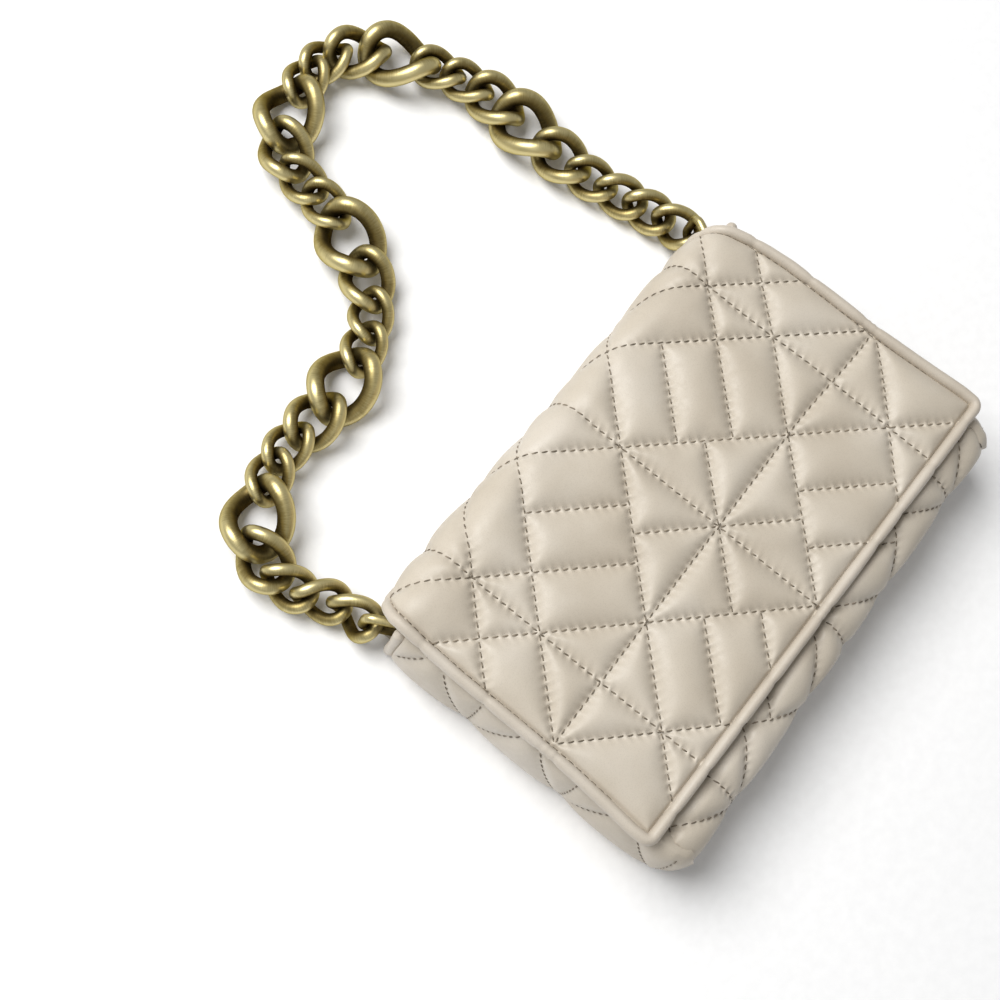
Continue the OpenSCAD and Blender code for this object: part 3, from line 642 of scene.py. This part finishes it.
def wire_skin(line, out, up, radius, ring):
    """Round wire carried along a closed line: point = line + radius (out cos a + up sin a). Returns its
    points and their UV values, which are metres along and round the wire."""
    a = np.arange(ring) * TAU / ring
    round_it = out[:, None] * np.cos(a)[None, :, None] + up[:, None] * np.sin(a)[None, :, None]
    uv = np.stack(np.broadcast_arrays(length_along(line)[:, None] * MM, (a * radius * MM)[None]), -1)
    return line[:, None] + radius * round_it, uv.reshape(-1, 2)


def link_piece(i, centre, spin, ring=22):
    """A link's points in the part's frame, its faces, its UV values and a value for each point, high where
    the wire is worn and low where it faces into the link, which paints shade there.
    """
    kind = LINK_KIND[i]
    t = np.arange(LINK_STEPS) * TAU / LINK_STEPS
    line, twist = link_line(kind, t)
    ahead, behind = link_line(kind, t + 0.01)[0], link_line(kind, t - 0.01)[0]
    run = unit(ahead - behind)
    flat = np.stack([np.zeros(LINK_STEPS), -np.sin(twist), np.cos(twist)], -1)
    up = unit(flat - run * (flat * run).sum(-1, keepdims=True))
    points, uv = wire_skin(line, np.cross(run, up), up, LINK_WIRE[kind] / 2, ring)
    # lighter where the surface faces away from the link's middle and wears, darker where it faces in: patina
    # and painted shade
    facing = unit(points - line[:, None])
    outward = unit(line * np.array([0.55, 1, 1]))[:, None]
    wear_and_shade = 0.5 + 0.5 * (facing * outward).sum(-1)
    points = points @ spin.T + centre
    faces = grid_faces(LINK_STEPS, ring, wrap_rows=True, wrap_columns=True)
    return points.reshape(-1, 3), faces, uv, wear_and_shade.ravel()


def outward_faces(points, faces, inside):
    """Turns the winding round when the first face looks towards inside."""
    quad = points[faces[0]]
    normal = np.cross(quad[1] - quad[0], quad[2] - quad[0])
    return faces if normal @ (quad.mean(0) - inside) > 0 else faces[:, ::-1].copy()


def make_chain():
    """All the links, each of which stands for one solid and rides on its body. A link that is not where
    its solid is gets named in the output."""
    body_of_link = {n: b for b, names in frame["record"]["behaviour"]["bodies"].items() for n in names}
    for i, (centre, spin) in enumerate(chain_layout()):
        node = "link_%02d" % (i + 1)
        points, faces, uv, wear_and_shade = link_piece(i, centre, spin)
        core = link_line(LINK_KIND[i], np.array([np.pi / LINK_STEPS]))[0] @ spin.T + centre
        faces = outward_faces(points, faces, core[0])
        piece = new_piece("chain_" + node, points, faces, brass_chain, uv=uv, attributes={"worn": wear_and_shade})
        low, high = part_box(node)
        miss = np.abs(points.min(0) * MM - low).max() + np.abs(points.max(0) * MM - high).max()
        if miss > 2 * MM:
            print("link", node, "is off its solid by", miss)
        settle(piece, body_of_link[node], "brass", node)


def make_ring(hand, side):
    """Rectangular ring: round wire along a rounded rectangle, one side the bar and the other the bow."""
    near, far, high = RING_CORNER, RING_L - RING_CORNER, RING_W / 2 - RING_CORNER
    line, ring = [], 20
    for cx, cy, start in ((far, high, 0), (near, high, 90), (near, -high, 180), (far, -high, 270)):
        a = np.radians(start + np.linspace(0, 90, 10))
        line.append(np.stack([cx + RING_CORNER * np.cos(a), cy + RING_CORNER * np.sin(a), 0 * a], -1))
    line = np.concatenate(line)
    # the straight sides are cut into eight
    filled = []
    for p, q in zip(line, np.roll(line, -1, 0)):
        pieces = 8 if np.linalg.norm(q - p) > 4 else 1
        filled += [p + (q - p) * k / pieces for k in range(pieces)]
    line = np.array(filled)
    run = unit(np.roll(line, -1, 0) - np.roll(line, 1, 0))
    up = np.broadcast_to([0.0, 0, 1], line.shape)
    points, uv = wire_skin(line, np.cross(run, up), up, RING_WIRE / 2, ring)
    # lighter on the ring's outer side, where it wears, and darker on its inner side: patina and painted shade
    wear_and_shade = np.broadcast_to(0.45 + 0.4 * np.cos(np.arange(ring) * TAU / ring), points.shape[:2])
    spin = turn(RING_LEAN, 2) @ turn(90, 0)
    points = (points.reshape(-1, 3) @ spin.T + [RING_X, RING_Y, RING_Z]) * [side, 1, 1]
    core = (line[0] @ spin.T + [RING_X, RING_Y, RING_Z]) * [side, 1, 1]
    faces = outward_faces(points, grid_faces(len(line), ring, wrap_rows=True, wrap_columns=True), core)
    name = hand + "_ring"
    piece = new_piece("brass_" + name, points, faces, brass_chain, uv=uv, attributes={"worn": wear_and_shade})
    settle(piece, name, "brass", name)


# Flap pieces
def flap_sheet(name, side, t_low, t_high, rows, columns):
    """Half of the flap's leather on a grid, from the middle seam out: x = side * a * half(t), with its
    height from the quilting and its outer edge turned down under the rim."""
    a, t = np.meshgrid(np.linspace(0, 1, columns), np.linspace(t_low, t_high, rows))
    x = side * a * (flap_half(side, t) - RIM_W / 2)
    edge = (a > 0.9999) | (t < LOW_T + RIM_W / 2 + 0.01)
    t = slanted(x, t)
    points = flap_surface(x, t)
    points[edge] = flap_place(x, t, TUCK_SUNK)[edge]
    return new_piece(name, points.reshape(-1, 3), grid_faces(rows, columns, flip=side < 0), cream_nappa)


def rim_line(t_stop, corner=3.2, inset=RIM_W / 2):
    """The rim's middle line in x and t: down the right side, round a corner, along the lower edge, round
    the other corner and up the left side, with the points about 1.2 mm apart."""
    low = LOW_T + inset
    ends = []
    for side in (1, -1):
        t = np.arange(t_stop, low + corner, -1.2)
        a = np.radians(np.linspace(0, -90, 8)[1:])
        x0 = flap_half(side, low) - inset - corner
        bend = np.stack([side * (x0 + corner * np.cos(a)), low + corner + corner * np.sin(a)], -1)
        ends.append(np.concatenate([np.stack([side * (flap_half(side, t) - inset), t], -1), bend]))
    right, left = ends
    along = np.linspace(right[-1, 0], left[-1, 0], 190)[1:-1]
    line = np.concatenate([right, np.stack([along, np.full(len(along), low)], -1), left[::-1]])
    return np.stack([line[:, 0], slanted(line[:, 0], line[:, 1])], -1)


def rim_tube(line):
    """The rolled edge: an oval section carried along a line on the flap, with a slow waver. Where quilting
    seams run into it, it is drawn in by 22% across and 17% through, times
    pinch = 0.55 exp(-(off / 0.8)^2) + 0.45 exp(-(off / 2.6)^2), with off the distance to the seam."""
    x, t = line.T
    path = flap_place(x, t, RIM_SUNK)
    up = unit(flap_place(x, t, RIM_SUNK + 1) - path)
    run = unit(np.gradient(path, axis=0))
    side = unit(np.cross(run, up))
    length = length_along(path)
    pinch = np.zeros(len(line))
    for seam in FLAP_SEAMS * QUILT_UNIT:
        off = beside(seam, x, t)[-1]
        pinch = np.maximum(pinch, 0.55 * np.exp(-(off / 0.8) ** 2) + 0.45 * np.exp(-(off / 2.6) ** 2))
    waver = 1 + 0.035 * np.sin(length / 6.1) * np.sin(length / 15.0 + 0.7)
    width = RIM_W / 2 * waver * (1 - 0.22 * pinch)
    height = RIM_H / 2 * waver * (1 - 0.17 * pinch)
    return tube(path, side, up, width, height, ring=18)


def flap_facing(name, t_low, t_high, rows, columns=61):
    """Underside of the flap: smooth leather nearly six millimetres inside the profile's face."""
    a, t = np.meshgrid(np.linspace(-1, 1, columns), np.linspace(t_low, t_high, rows))
    x = a * (flap_half(a, t) - RIM_W / 2)
    t = slanted(x, t)
    sag = 0.12 * np.sin(x / 14.0) * np.sin(t / 17.0)
    points = flap_place(x, t, FACING_SUNK + sag)
    edge = np.abs(a) > 0.9999
    points[edge] = flap_place(x, t, TUCK_SUNK)[edge]
    return new_piece(name, points.reshape(-1, 3), grid_faces(rows, columns, flip=True), plain_nappa)


def flap_filling():
    """The wadding between leather and facing: it follows the quilting 1.1 mm under the leather, and its
    edges close on each other."""
    a, t = np.meshgrid(np.linspace(-1, 1, 150), np.linspace(LOW_T + RIM_W + 1, SPLIT_T - 3, 100))
    x = a * (flap_half(a, t) - RIM_W - 1)
    t = slanted(x, t)
    rows, columns = x.shape
    top = flap_place(x, t, np.maximum(flap_relief(x, t) - 1.1, -5.0))
    base = flap_place(x, t, -5.1)
    edge = np.zeros(x.shape, bool)
    edge[[0, -1]], edge[:, [0, -1]] = True, True
    top[edge] = base[edge]
    quads = grid_faces(rows, columns)
    quads = np.concatenate([quads, quads[:, ::-1] + rows * columns])
    points = np.concatenate([top.reshape(-1, 3), base.reshape(-1, 3)])
    return new_piece("flap_wadding_fill", points, quads, soft_wadding)


def flap_stitches(low, high):
    """The flap's stitches between two heights, moved with the stretched quilting."""
    place = stitch_places(FLAP_SEAMS, lambda s, t: np.abs(s) < 125)
    s, t = place[:, 0].copy(), place[:, 1].copy()
    for _ in range(4):
        shift_x, shift_t = flap_shift(place[:, 0], place[:, 1])
        place[:, 0], place[:, 1] = s + shift_x, t + shift_t
    s, t = place[:, 0], place[:, 1]
    on_leather = (np.abs(s) < flap_half(s, t) - RIM_W - 0.6) & (t > flap_low(s) + RIM_W + 0.6)
    return place[on_leather & (t > low) & (t < high)]


def make_flap():
    """The flap's front and its strip: leather, rolled edge, stitches, wadding and smooth facing."""
    low = LOW_T + RIM_W / 2
    covers = [flap_sheet("flap_cover_" + hand, side, low, SPLIT_T, 370, 262) for hand, side in HANDS]
    strips = [flap_sheet("flap_strip_cover_" + hand, side, SPLIT_T, SEAM_T, 62, 220) for hand, side in HANDS]
    for cover, strip in zip(covers, strips):
        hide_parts("flap_panel")
        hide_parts("flap_back")
    rim = new_piece("flap_rolled_edge", *rim_tube(rim_line(SPLIT_T)), rolled_nappa)
    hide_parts("flap_rim")
    t = np.append(np.arange(SEAM_T - 0.5, SPLIT_T - 0.01, -1.2), SPLIT_T)
    sides = [rim_tube(np.stack([s * (flap_half(s, t) - RIM_W / 2), t], -1)) for s in (1, -1)]
    strip_rim = new_piece("flap_strip_rolled_edge", *joined(sides), rolled_nappa)
    filling = flap_filling()
    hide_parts("flap_wadding")
    facing = flap_facing("flap_facing", low, SPLIT_T, 120)
    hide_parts("flap_lining")
    strip_facing = flap_facing("flap_strip_facing", SPLIT_T, SEAM_T - 3, 30)
    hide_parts("flap_back_lining")
    sewn = stitches("flap_quilting_stitches", flap_stitches(LOW_T, SPLIT_T), flap_surface, thread_with_groove_shade)
    place = flap_stitches(SPLIT_T, SEAM_T - 4)
    strip_sewn = stitches("flap_strip_stitches", place, flap_surface, thread_with_groove_shade)
    # along the lower edge, below t = -32, the stitches are buried in the ditch beside the rim
    place = along_line(rim_line(SPLIT_T, corner=1.0, inset=RIM_W + 0.25))
    place = place[place[:, 1] > -32]
    edge_sewn = stitches("flap_edge_stitches", place, flap_surface, thread_with_groove_shade)
    for piece in (*covers, filling, rim, facing, sewn, edge_sewn):
        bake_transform(piece)
    for piece in (*strips, strip_rim, strip_facing, strip_sewn):
        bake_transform(piece)


def along_line(line, pitch=STITCH_PITCH):
    """Stitches along an open line in s and t, as rows s, t, direction."""
    length = length_along(line)
    at = np.arange(pitch / 2, length[-1], pitch)
    p = np.stack([np.interp(at, length, line[:, k]) for k in (0, 1)], -1)
    q = np.stack([np.interp(at + 0.2, length, line[:, k]) for k in (0, 1)], -1)
    return np.concatenate([p, unit(q - p)], 1)


# Body pieces
def wrap_profile():
    """Side view of the body's leather, from the front's upper edge down, round the base and up the back:
    straight lines and two quarter circles of radius 15. Returns the height t along it, which falls all the
    way from the front's edge, its points and outward directions, with the back's edge first."""
    step, centre_y = 0.5, BASE_Y + BASE_R
    a = np.radians(np.arange(90, 180.1, 2))
    front = [(y, BODY_D) for y in np.arange(MOUTH_Y, centre_y, -step)]
    upper = [(centre_y + BASE_R * np.cos(k), BODY_D - BASE_R + BASE_R * np.sin(k)) for k in a]
    flat = [(BASE_Y, z) for z in np.arange(BODY_D - BASE_R - step, BASE_R, -step)]
    lower = [(centre_y + BASE_R * np.cos(k), BASE_R + BASE_R * np.sin(k)) for k in a + np.pi / 2]
    back = [(y, 0.0) for y in np.arange(centre_y + step, TOP_Y + 0.01, step)]
    line = np.array(front + upper + flat + lower + back)
    run = unit(np.gradient(line, axis=0))
    outward = np.stack([run[:, 1], -run[:, 0]], -1)
    return (MOUTH_Y - NODE_Y - length_along(line))[::-1], line[::-1], outward[::-1]


WRAP_T, WRAP_YZ, WRAP_OUT = wrap_profile()
WRAP_LOW, WRAP_TOP = WRAP_T[0], WRAP_T[-1]
WRAP_SEAMS = lattice_quilting((-120, WRAP_LOW), (120, 80))
BASE_T = -(BODY_D / 2 - 4) - 62 - NODE_Y     # t near the middle of the base
FRONT_END_T, BACK_END_T = -59.0, BASE_T - 30     # where the base's cover meets the front's and the back's
WRAP_HALF = 111.5


def wrap_relief(x, t):
    """Height of the body's leather over its profile. On the back, which lies on the surface, and under the
    flap it stays inside the solid's face; below the flap and round the base it swells past it."""
    free = smoothstep(-t, 54, 62) * smoothstep(t, BASE_T - 34, BASE_T - 24)
    back = smoothstep(-t, 24 - BASE_T, 34 - BASE_T)
    edges = [WRAP_HALF - 0.4 - np.abs(x), MOUTH_Y - NODE_Y - t]
    height = -4.6 + 2.4 * free + 2.2 * back + (0.88 - 0.18 * back) * quilt(x, t, WRAP_SEAMS, edges, seed=2.0)
    return np.where(t < BACK_END_T, np.minimum(height, -0.02), height)


def wrap_surface(x, t):
    points = profile_place(x, t, wrap_relief(x, t), WRAP_T, WRAP_YZ, WRAP_OUT)
    points[..., 2] = np.maximum(points[..., 2], 0.05)
    return points


def make_body():
    """The body's leather in three covers, front, base and back, with their side edges tucked in, and the
    stitches of all three."""
    columns = 240
    for name, high, low, rows, node in (
            ("body_front_cover", WRAP_TOP, FRONT_END_T, 120, "front_panel"),
            ("body_base_cover", FRONT_END_T, BACK_END_T, 90, "base_panel"),
            ("body_back_cover", BACK_END_T, WRAP_LOW, 170, "back_panel")):
        x, t = np.meshgrid(np.linspace(-WRAP_HALF, WRAP_HALF, columns), np.linspace(high, low, rows))
        points = wrap_surface(x, t)
        edge = np.abs(x) > WRAP_HALF - 0.01
        points[edge] += np.stack([-np.sign(x), 0 * x, 0 * x], -1)[edge] * 2.5
        piece = new_piece(name, points.reshape(-1, 3), grid_faces(rows, columns, flip=True), cream_nappa)
        settle(piece, "bag", "leather", node)
    inside = lambda s, t: (np.abs(s) < WRAP_HALF - 2) & (t < MOUTH_Y - NODE_Y - 5) & (t > WRAP_LOW + 2)
    place = stitch_places(WRAP_SEAMS, inside)
    settle(stitches("body_quilting_stitches", place, wrap_surface, thread_with_groove_shade), "bag", "leather")


def gusset_outline_gap(y, z):
    """Distance inwards from the side panel's outline, a rounded rectangle open at its upper end."""
    cy, cz = BASE_Y + BASE_R, BODY_D / 2
    dz = np.abs(z - cz) - (BODY_D / 2 - BASE_R)
    dy = cy - y
    corner = BASE_R - np.hypot(np.maximum(dy, 0), np.maximum(dz, 0))
    straight = np.minimum(np.where(dy > 0, BASE_R - dy, 99), BODY_D / 2 - np.abs(z - cz))
    return np.where(dz > 0, corner, straight)


def side_quilting():
    """Seams of the side panel as lines in z and y: a straight one across it every 48 mm, and two slanting
    ones that cross it 5 mm from the back edge and rise 24 mm over the next 45 mm."""
    lines = []
    for y in (123, 75, 27, -21, -69, -117):
        lines += [(-10, y, 60, y), (-10, y - 8, 65, y + 32), (-10, y + 8, 65, y - 32)]
    return np.array(lines) / QUILT_UNIT


GUSSET_SEAMS = side_quilting()


def gusset_bulge(y, z, foot_round):
    """How far the side panel stands out at y, z: a steep rise from its seam, a crown across its depth and
    the quilting. Its foot is rounded as seen from the front."""
    gap = np.maximum(gusset_outline_gap(y, z), 0)
    crown = 3.4 * (1 - ((z - BODY_D / 2) / (BODY_D / 2)) ** 2)
    foot = foot_round * (1 - smoothstep(y, BASE_Y - 2, BASE_Y + 11))
    rise = 3.6 * (1 - np.exp(-gap / 2.2))
    relief = quilt(z, y, GUSSET_SEAMS, [gap, MOUTH_Y - y], puff=3.0, seed=4.0)
    return np.maximum(BODY_HALF + 1.2 + crown + rise + relief - foot, BODY_HALF + 0.3)


def make_gusset(hand, side):
    """A side panel: its leather on a grid within the rounded outline, and its stitches. Its foot is more
    rounded on the left, as on the photographed bag."""
    foot_round = 2.0 if side > 0 else 5.5
    surface = lambda z, y: np.stack([side * gusset_bulge(y, z, foot_round), y, z], -1)
    rows, columns = 200, 72
    y = BASE_Y + (MOUTH_Y - BASE_Y) * np.linspace(0, 1, rows)
    below = BASE_Y + BASE_R - y
    inset = np.where(below > 0, BASE_R - np.sqrt(np.maximum(BASE_R ** 2 - below ** 2, 0)), 0)[:, None]
    z = inset + (BODY_D - 2 * inset) * np.linspace(0, 1, columns)[None]
    y = np.broadcast_to(y[:, None], z.shape)
    points = surface(z, y)
    # the outermost rows are tucked in under the body's leather, and the top one under the panel's binding
    tuck = 3.5
    tucked = np.stack([np.full(y.shape, side * 108.0), np.maximum(y, BASE_Y + tuck),
                       np.clip(z, tuck, BODY_D - tuck)], -1)
    points[:, [0, -1]], points[0] = tucked[:, [0, -1]], tucked[0]
    points[-1, :, 0], points[-1, :, 1] = side * 112.5, MOUTH_Y + 0.6
    quads = grid_faces(rows, columns, flip=side > 0)
    piece = new_piece(hand + "_side_panel", points.reshape(-1, 3), quads, cream_nappa)
    settle(piece, "bag", "leather", hand + "_gusset")
    place = stitch_places(GUSSET_SEAMS, lambda z, y: (gusset_outline_gap(y, z) > 1.6) & (y < MOUTH_Y - 2.5))
    # the stitches' normal points to -X on both panels, which is inwards on the right one
    sewn = stitches(hand + "_side_stitches", place, surface, thread_with_groove_shade, lift=-0.12 * side)
    settle(sewn, "bag", "leather")


def rolled_binding(name, path, up, node, radius=2.5, ring=16):
    """A round roll of leather along a path, with a slow waver in its thickness and rounded closed ends."""
    length = length_along(path)
    run = unit(np.gradient(path, axis=0))
    side = unit(np.cross(run, up))
    lift = np.cross(side, run)
    from_end = np.minimum(np.minimum(length, length[-1] - length) / radius, 1)
    ends = np.sqrt(np.clip(1 - (1 - from_end) ** 2, 0.02, 1))
    thick = radius * ends * (1 + 0.04 * np.sin(length / 4.3))
    piece = new_piece(name, *tube(path, side, lift, thick, thick, ring=ring), rolled_nappa)
    settle(piece, "bag", "leather", node)


def make_bindings():
    """The rolled edges round the mouth: one on each side panel and one along the front."""
    for hand, side in HANDS:
        z = np.linspace(2.2, BODY_D - 2.2, 46)
        x = side * (114.0 + 1.2 * np.sin(np.pi * (z / BODY_D)))
        y = MOUTH_Y + 1.9 - 0.5 * np.sin(np.pi * z / BODY_D)
        path, up = np.stack([x, y, z], -1), np.array([0, 1.0, 0])
        rolled_binding(hand + "_side_rolled_edge", path, up, hand + "_gusset_binding")
    x = np.linspace(-108.8, 108.8, 160)
    path = np.stack(np.broadcast_arrays(x, MOUTH_Y + 0.2, 41.0), -1)
    run, up = np.broadcast_to([1.0, 0, 0], path.shape), np.broadcast_to([0, 0, 1.0], path.shape)
    waver = 1 + 0.02 * np.sin(x / 7.0) * np.sin(x / 19.0)
    skin = tube(path, np.cross(up, run), up, 2.2 * waver, 3.9 * waver, ring=18)
    piece = new_piece("front_mouth_rolled_edge", *skin, rolled_nappa)
    settle(piece, "bag", "leather", "front_mouth_binding")


def cloth_box(node, low, high, bow=0.0, rows=24):
    """A flat lining panel with a slightly slack face: a closed box whose larger sides carry a grid and bow
    by a product of sines."""
    thin = int(np.argmin(high - low))
    a, b = [k for k in (0, 1, 2) if k != thin]
    u, v = np.meshgrid(np.linspace(0, 1, rows), np.linspace(0, 1, rows))
    slack = bow * np.sin(np.pi * u) * np.sin(np.pi * v) * (1 + 0.5 * np.sin(9 * u) * np.sin(7 * v))
    sides = []
    for end in (0, 1):
        p = np.zeros(u.shape + (3,))
        p[..., a] = low[a] + (high - low)[a] * u
        p[..., b] = low[b] + (high - low)[b] * v
        p[..., thin] = (high if end else low)[thin] + slack
        sides.append(p.reshape(-1, 3))
    n, top = rows * rows, grid_faces(rows, rows)
    faces = [tuple(f) for f in (top + n).tolist()] + [tuple(f[::-1]) for f in top.tolist()]
    faces += [(k, m, m + n, k + n) for k, m in border(rows, rows)]
    axis = np.cross(*(np.eye(3)[[a, b]]))
    if axis[thin] < 0:
        faces = [f[::-1] for f in faces]
    piece = new_piece("cloth_" + node, np.concatenate(sides), faces, cotton_twill, smooth=False)
    settle(piece, "bag", "lining", node)


def make_lining():
    """The cloth inside: back and front, base and sides, each a slack panel where its solid is."""
    for node, bow in (("back_lining", 0.25), ("front_lining", -0.25), ("left_gusset_lining", 0.0),
                      ("right_gusset_lining", 0.0)):
        low, high = (np.array(v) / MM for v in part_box(node))
        if "gusset" in node:
            low[1] += 3
            low[2], high[2] = low[2] + 1.0, high[2] - 1.0
        cloth_box(node, low, high, bow=bow)
    # base: cloth 1 mm thick on the inner face of the turned-up base, from the front round to the back
    a = np.radians(np.linspace(90, 270, 60))
    r = BASE_R - WALL
    outward = np.stack([np.cos(a), np.sin(a)], -1)
    centre_z = np.where(a < np.pi, BODY_D - BASE_R, BASE_R)
    inner = np.stack([BASE_Y + BASE_R + r * np.cos(a), centre_z + r * np.sin(a)], -1)
    loop = np.concatenate([inner + outward, inner[::-1]])
    slices, n = 40, len(loop)
    x = np.linspace(-INNER_HALF, INNER_HALF, slices)[:, None]
    points = np.stack(np.broadcast_arrays(x, loop[:, 0], loop[:, 1]), -1)
    faces = [tuple(f) for f in grid_faces(slices, n, wrap_columns=True).tolist()]
    faces += [tuple(range(n))[::-1], tuple(range((slices - 1) * n, slices * n))]
    piece = new_piece("cloth_base_lining", points, faces, cotton_twill, smooth=False)
    settle(piece, "bag", "lining", "base_lining")


def make_pocket():
    """The slip pocket: one cloth front over the back lining, sewn down along its sides and base, with a
    hem along its open edge. Its face rises as 1 - exp(-edge / 1.6) from the sewn edges and a little more
    towards the open one."""
    low, high = (np.array(v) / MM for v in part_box("slip_pocket"))
    rows, columns = 41, 61
    u, v = np.meshgrid(np.linspace(0, 1, columns), np.linspace(0, 1, rows))
    size = high - low
    edge = np.minimum(np.minimum(u, 1 - u) * size[0], v * size[1])
    rise = size[2] * (1 - np.exp(-edge / 1.6)) * (0.86 + 0.14 * v)
    face = np.stack([low[0] + size[0] * u, low[1] + size[1] * v, low[2] + 0.1 + rise], -1)
    inner = face - np.array([0, 0, 0.7])
    inner[..., 2] = np.maximum(inner[..., 2], low[2] + 0.02)
    n, front = rows * columns, grid_faces(rows, columns)
    faces = [tuple(f) for f in front.tolist()] + [tuple(f[::-1]) for f in (front + n).tolist()]
    faces += [(m, k, k + n, m + n) for k, m in border(rows, columns)]
    pocket = (np.concatenate([face.reshape(-1, 3), inner.reshape(-1, 3)]), faces)
    x = np.linspace(low[0] + 1.4, high[0] - 1.4, columns)
    z = np.interp(x, face[-1, :, 0], face[-1, :, 2])
    path = np.stack(np.broadcast_arrays(x, high[1] - 0.9, z - 0.35), -1)
    run, up = np.broadcast_to([1.0, 0, 0], path.shape), np.broadcast_to([0, 0, 1.0], path.shape)
    hem = tube(path, np.cross(up, run), up, 0.85, 0.75, ring=12)
    piece = new_piece("cloth_slip_pocket", *joined([pocket, hem]), cotton_twill)
    settle(piece, "bag", "lining", "slip_pocket")


def make_tab(hand, side):
    """A strap folded round the ring's bar: a band 1.2 mm thick that runs up the side lining, round a loop
    and down again, with soft edges."""
    thickness, half_width, foot_y = 1.2, 4.8, 46.3
    wall_x = INNER_HALF - thickness / 2
    loop_r = 3.28 - thickness / 2
    a = np.radians(np.linspace(0, 270, 40))
    outer = [(wall_x, y) for y in np.linspace(foot_y, RING_Y, 14)]
    loop = [(RING_X + loop_r * np.cos(k), RING_Y + loop_r * np.sin(k)) for k in a]
    close = [(wall_x - thickness, y) for y in np.linspace(RING_Y - loop_r - 1.0, foot_y, 12)]
    line = np.array(outer[:-1] + loop[:34] + close)
    path = np.concatenate([line, np.full((len(line), 1), RING_Z)], 1)
    run = unit(np.gradient(path, axis=0))
    wide = np.broadcast_to([0, 0, 1.0], path.shape)
    thick = np.cross(wide, run)
    ring = 16
    c = np.arange(ring) * TAU / ring
    square = np.stack([np.sign(np.cos(c)) * np.abs(np.cos(c)) ** 0.4 * thickness / 2 * 0.96,
                       np.sign(np.sin(c)) * np.abs(np.sin(c)) ** 0.4 * half_width], -1)
    points = path[:, None] + square[None, :, :1] * thick[:, None] + square[None, :, 1:] * wide[:, None]
    faces = [tuple(f) for f in grid_faces(len(path), ring, wrap_columns=True).tolist()]
    faces += [tuple(range(ring))[::-1], tuple(range((len(path) - 1) * ring, len(path) * ring))]
    if side > 0:
        faces = [f[::-1] for f in faces]
    piece = new_piece(hand + "_ring_tab", points * [side, 1, 1], faces, rolled_nappa)
    settle(piece, "bag", "leather", hand + "_tab")


def repaint_nodes():
    """The stiff hidden parts and the snap keep their solids and get their finish."""
    finish = {"board": grey_board, "wadding": soft_wadding, "brass": brass_chain}
    slots = {part["node"]: part["material_slot"] for part in frame["record"]["subparts"]}
    for node, obj in frame["nodes"].items():
        if not obj.hide_render:
            obj.data.materials.clear()
            obj.data.materials.append(finish.get(slots[node], plain_nappa))


# Stage
def make_stage():
    """White paper under the bag, 8 m wide and 0.3 mm below it."""
    material, tree, shader = new_material("white_paper_sweep")
    place = [("Vector", add_node(tree, "ShaderNodeTexCoord").outputs["Object"])]
    grain = add_node(tree, "ShaderNodeTexNoise", place, Scale=200.0, Detail=2.0)
    tone = ramp(tree, grain.outputs["Fac"], [(0.3, "#FBFBFB"), (0.7, "#FFFFFF")])
    feed(tree, shader, [("Base Color", tone)], Roughness=0.95, Specular_IOR_Level=0.1)
    size, low = 4000.0, -0.3
    corners = [(-size, -size, low), (size, -size, low), (size, size, low), (-size, size, low)]
    new_piece("floor", corners, [(0, 1, 2, 3)], material)


def soft_lamp(name, place, target, size, power):
    """A round lamp, with its place, target and size in metres and its power in watts."""
    lamp = bpy.data.lights.new(name, "AREA")
    lamp.shape, lamp.size, lamp.energy = "DISK", size, power
    holder = bpy.data.objects.new(name, lamp)
    bpy.context.scene.collection.objects.link(holder)
    holder.location = place
    holder.rotation_mode = "QUATERNION"
    holder.rotation_quaternion = (Vector(target) - Vector(place)).to_track_quat("-Z", "Y")


def make_light():
    """Soft daylight from beyond the chain, a weak fill from the left, and a white room. The room is at full
    strength only where it is seen, and about half as bright in the metal, as the room round the paper was
    darker."""
    soft_lamp("window", (-0.20, 1.05, 1.55), (0, 0.05, 0), 1.35, 38.6)
    soft_lamp("fill", (-0.9, -0.2, 1.1), (0, 0, 0), 1.2, 1.5)
    world = bpy.data.worlds.new("studio")
    bpy.context.scene.world = world
    world.use_nodes = True
    tree = world.node_tree
    ray = add_node(tree, "ShaderNodeLightPath").outputs
    seen = add_node(tree, "ShaderNodeMath", [(0, ray["Is Camera Ray"]), (1, ray["Is Transmission Ray"])],
                    [("operation", "MAXIMUM")])
    shown = multiply_add(tree, ray["Is Glossy Ray"], 0.3, seen.outputs[0])
    strength = add_node(tree, "ShaderNodeMapRange", [("Value", shown)], To_Min=0.23, To_Max=1.0)
    feed(tree, tree.nodes["Background"], [("Strength", strength.outputs["Result"])], Color=(1, 1, 1, 1))


def make_camera():
    """The photograph's view, as fitted to the bag: a 57.6 mm lens about 67 cm from the bag's middle, looking
    down at it from its left. Its place is in metres, and right, down and ahead are the picture's axes."""
    place = [-0.2385, 0.0620, 0.6494]
    right, down = np.array([0.6034, -0.7774, 0.1779]), np.array([-0.7385, -0.6289, -0.2432])
    ahead = np.array([0.3009, 0.0154, -0.9535])
    data = bpy.data.cameras.new("camera")
    data.lens, data.sensor_width, data.sensor_fit = 57.6, 36.0, "HORIZONTAL"
    data.clip_start, data.clip_end = 0.01, 20.0
    camera = bpy.data.objects.new("camera", data)
    bpy.context.scene.collection.objects.link(camera)
    camera.matrix_world = Matrix(np.stack([right, -down, -ahead, place], -1).tolist() + [[0, 0, 0, 1]])
    bpy.context.scene.camera = camera


make_camera()
make_chain()
for hand, side in HANDS:
    make_ring(hand, side)
    make_tab(hand, side)
    make_gusset(hand, side)
make_flap()
make_body()
make_bindings()
make_lining()
make_pocket()
repaint_nodes()
make_stage()
make_light()
bpy.context.scene.view_settings.view_transform = "Standard"
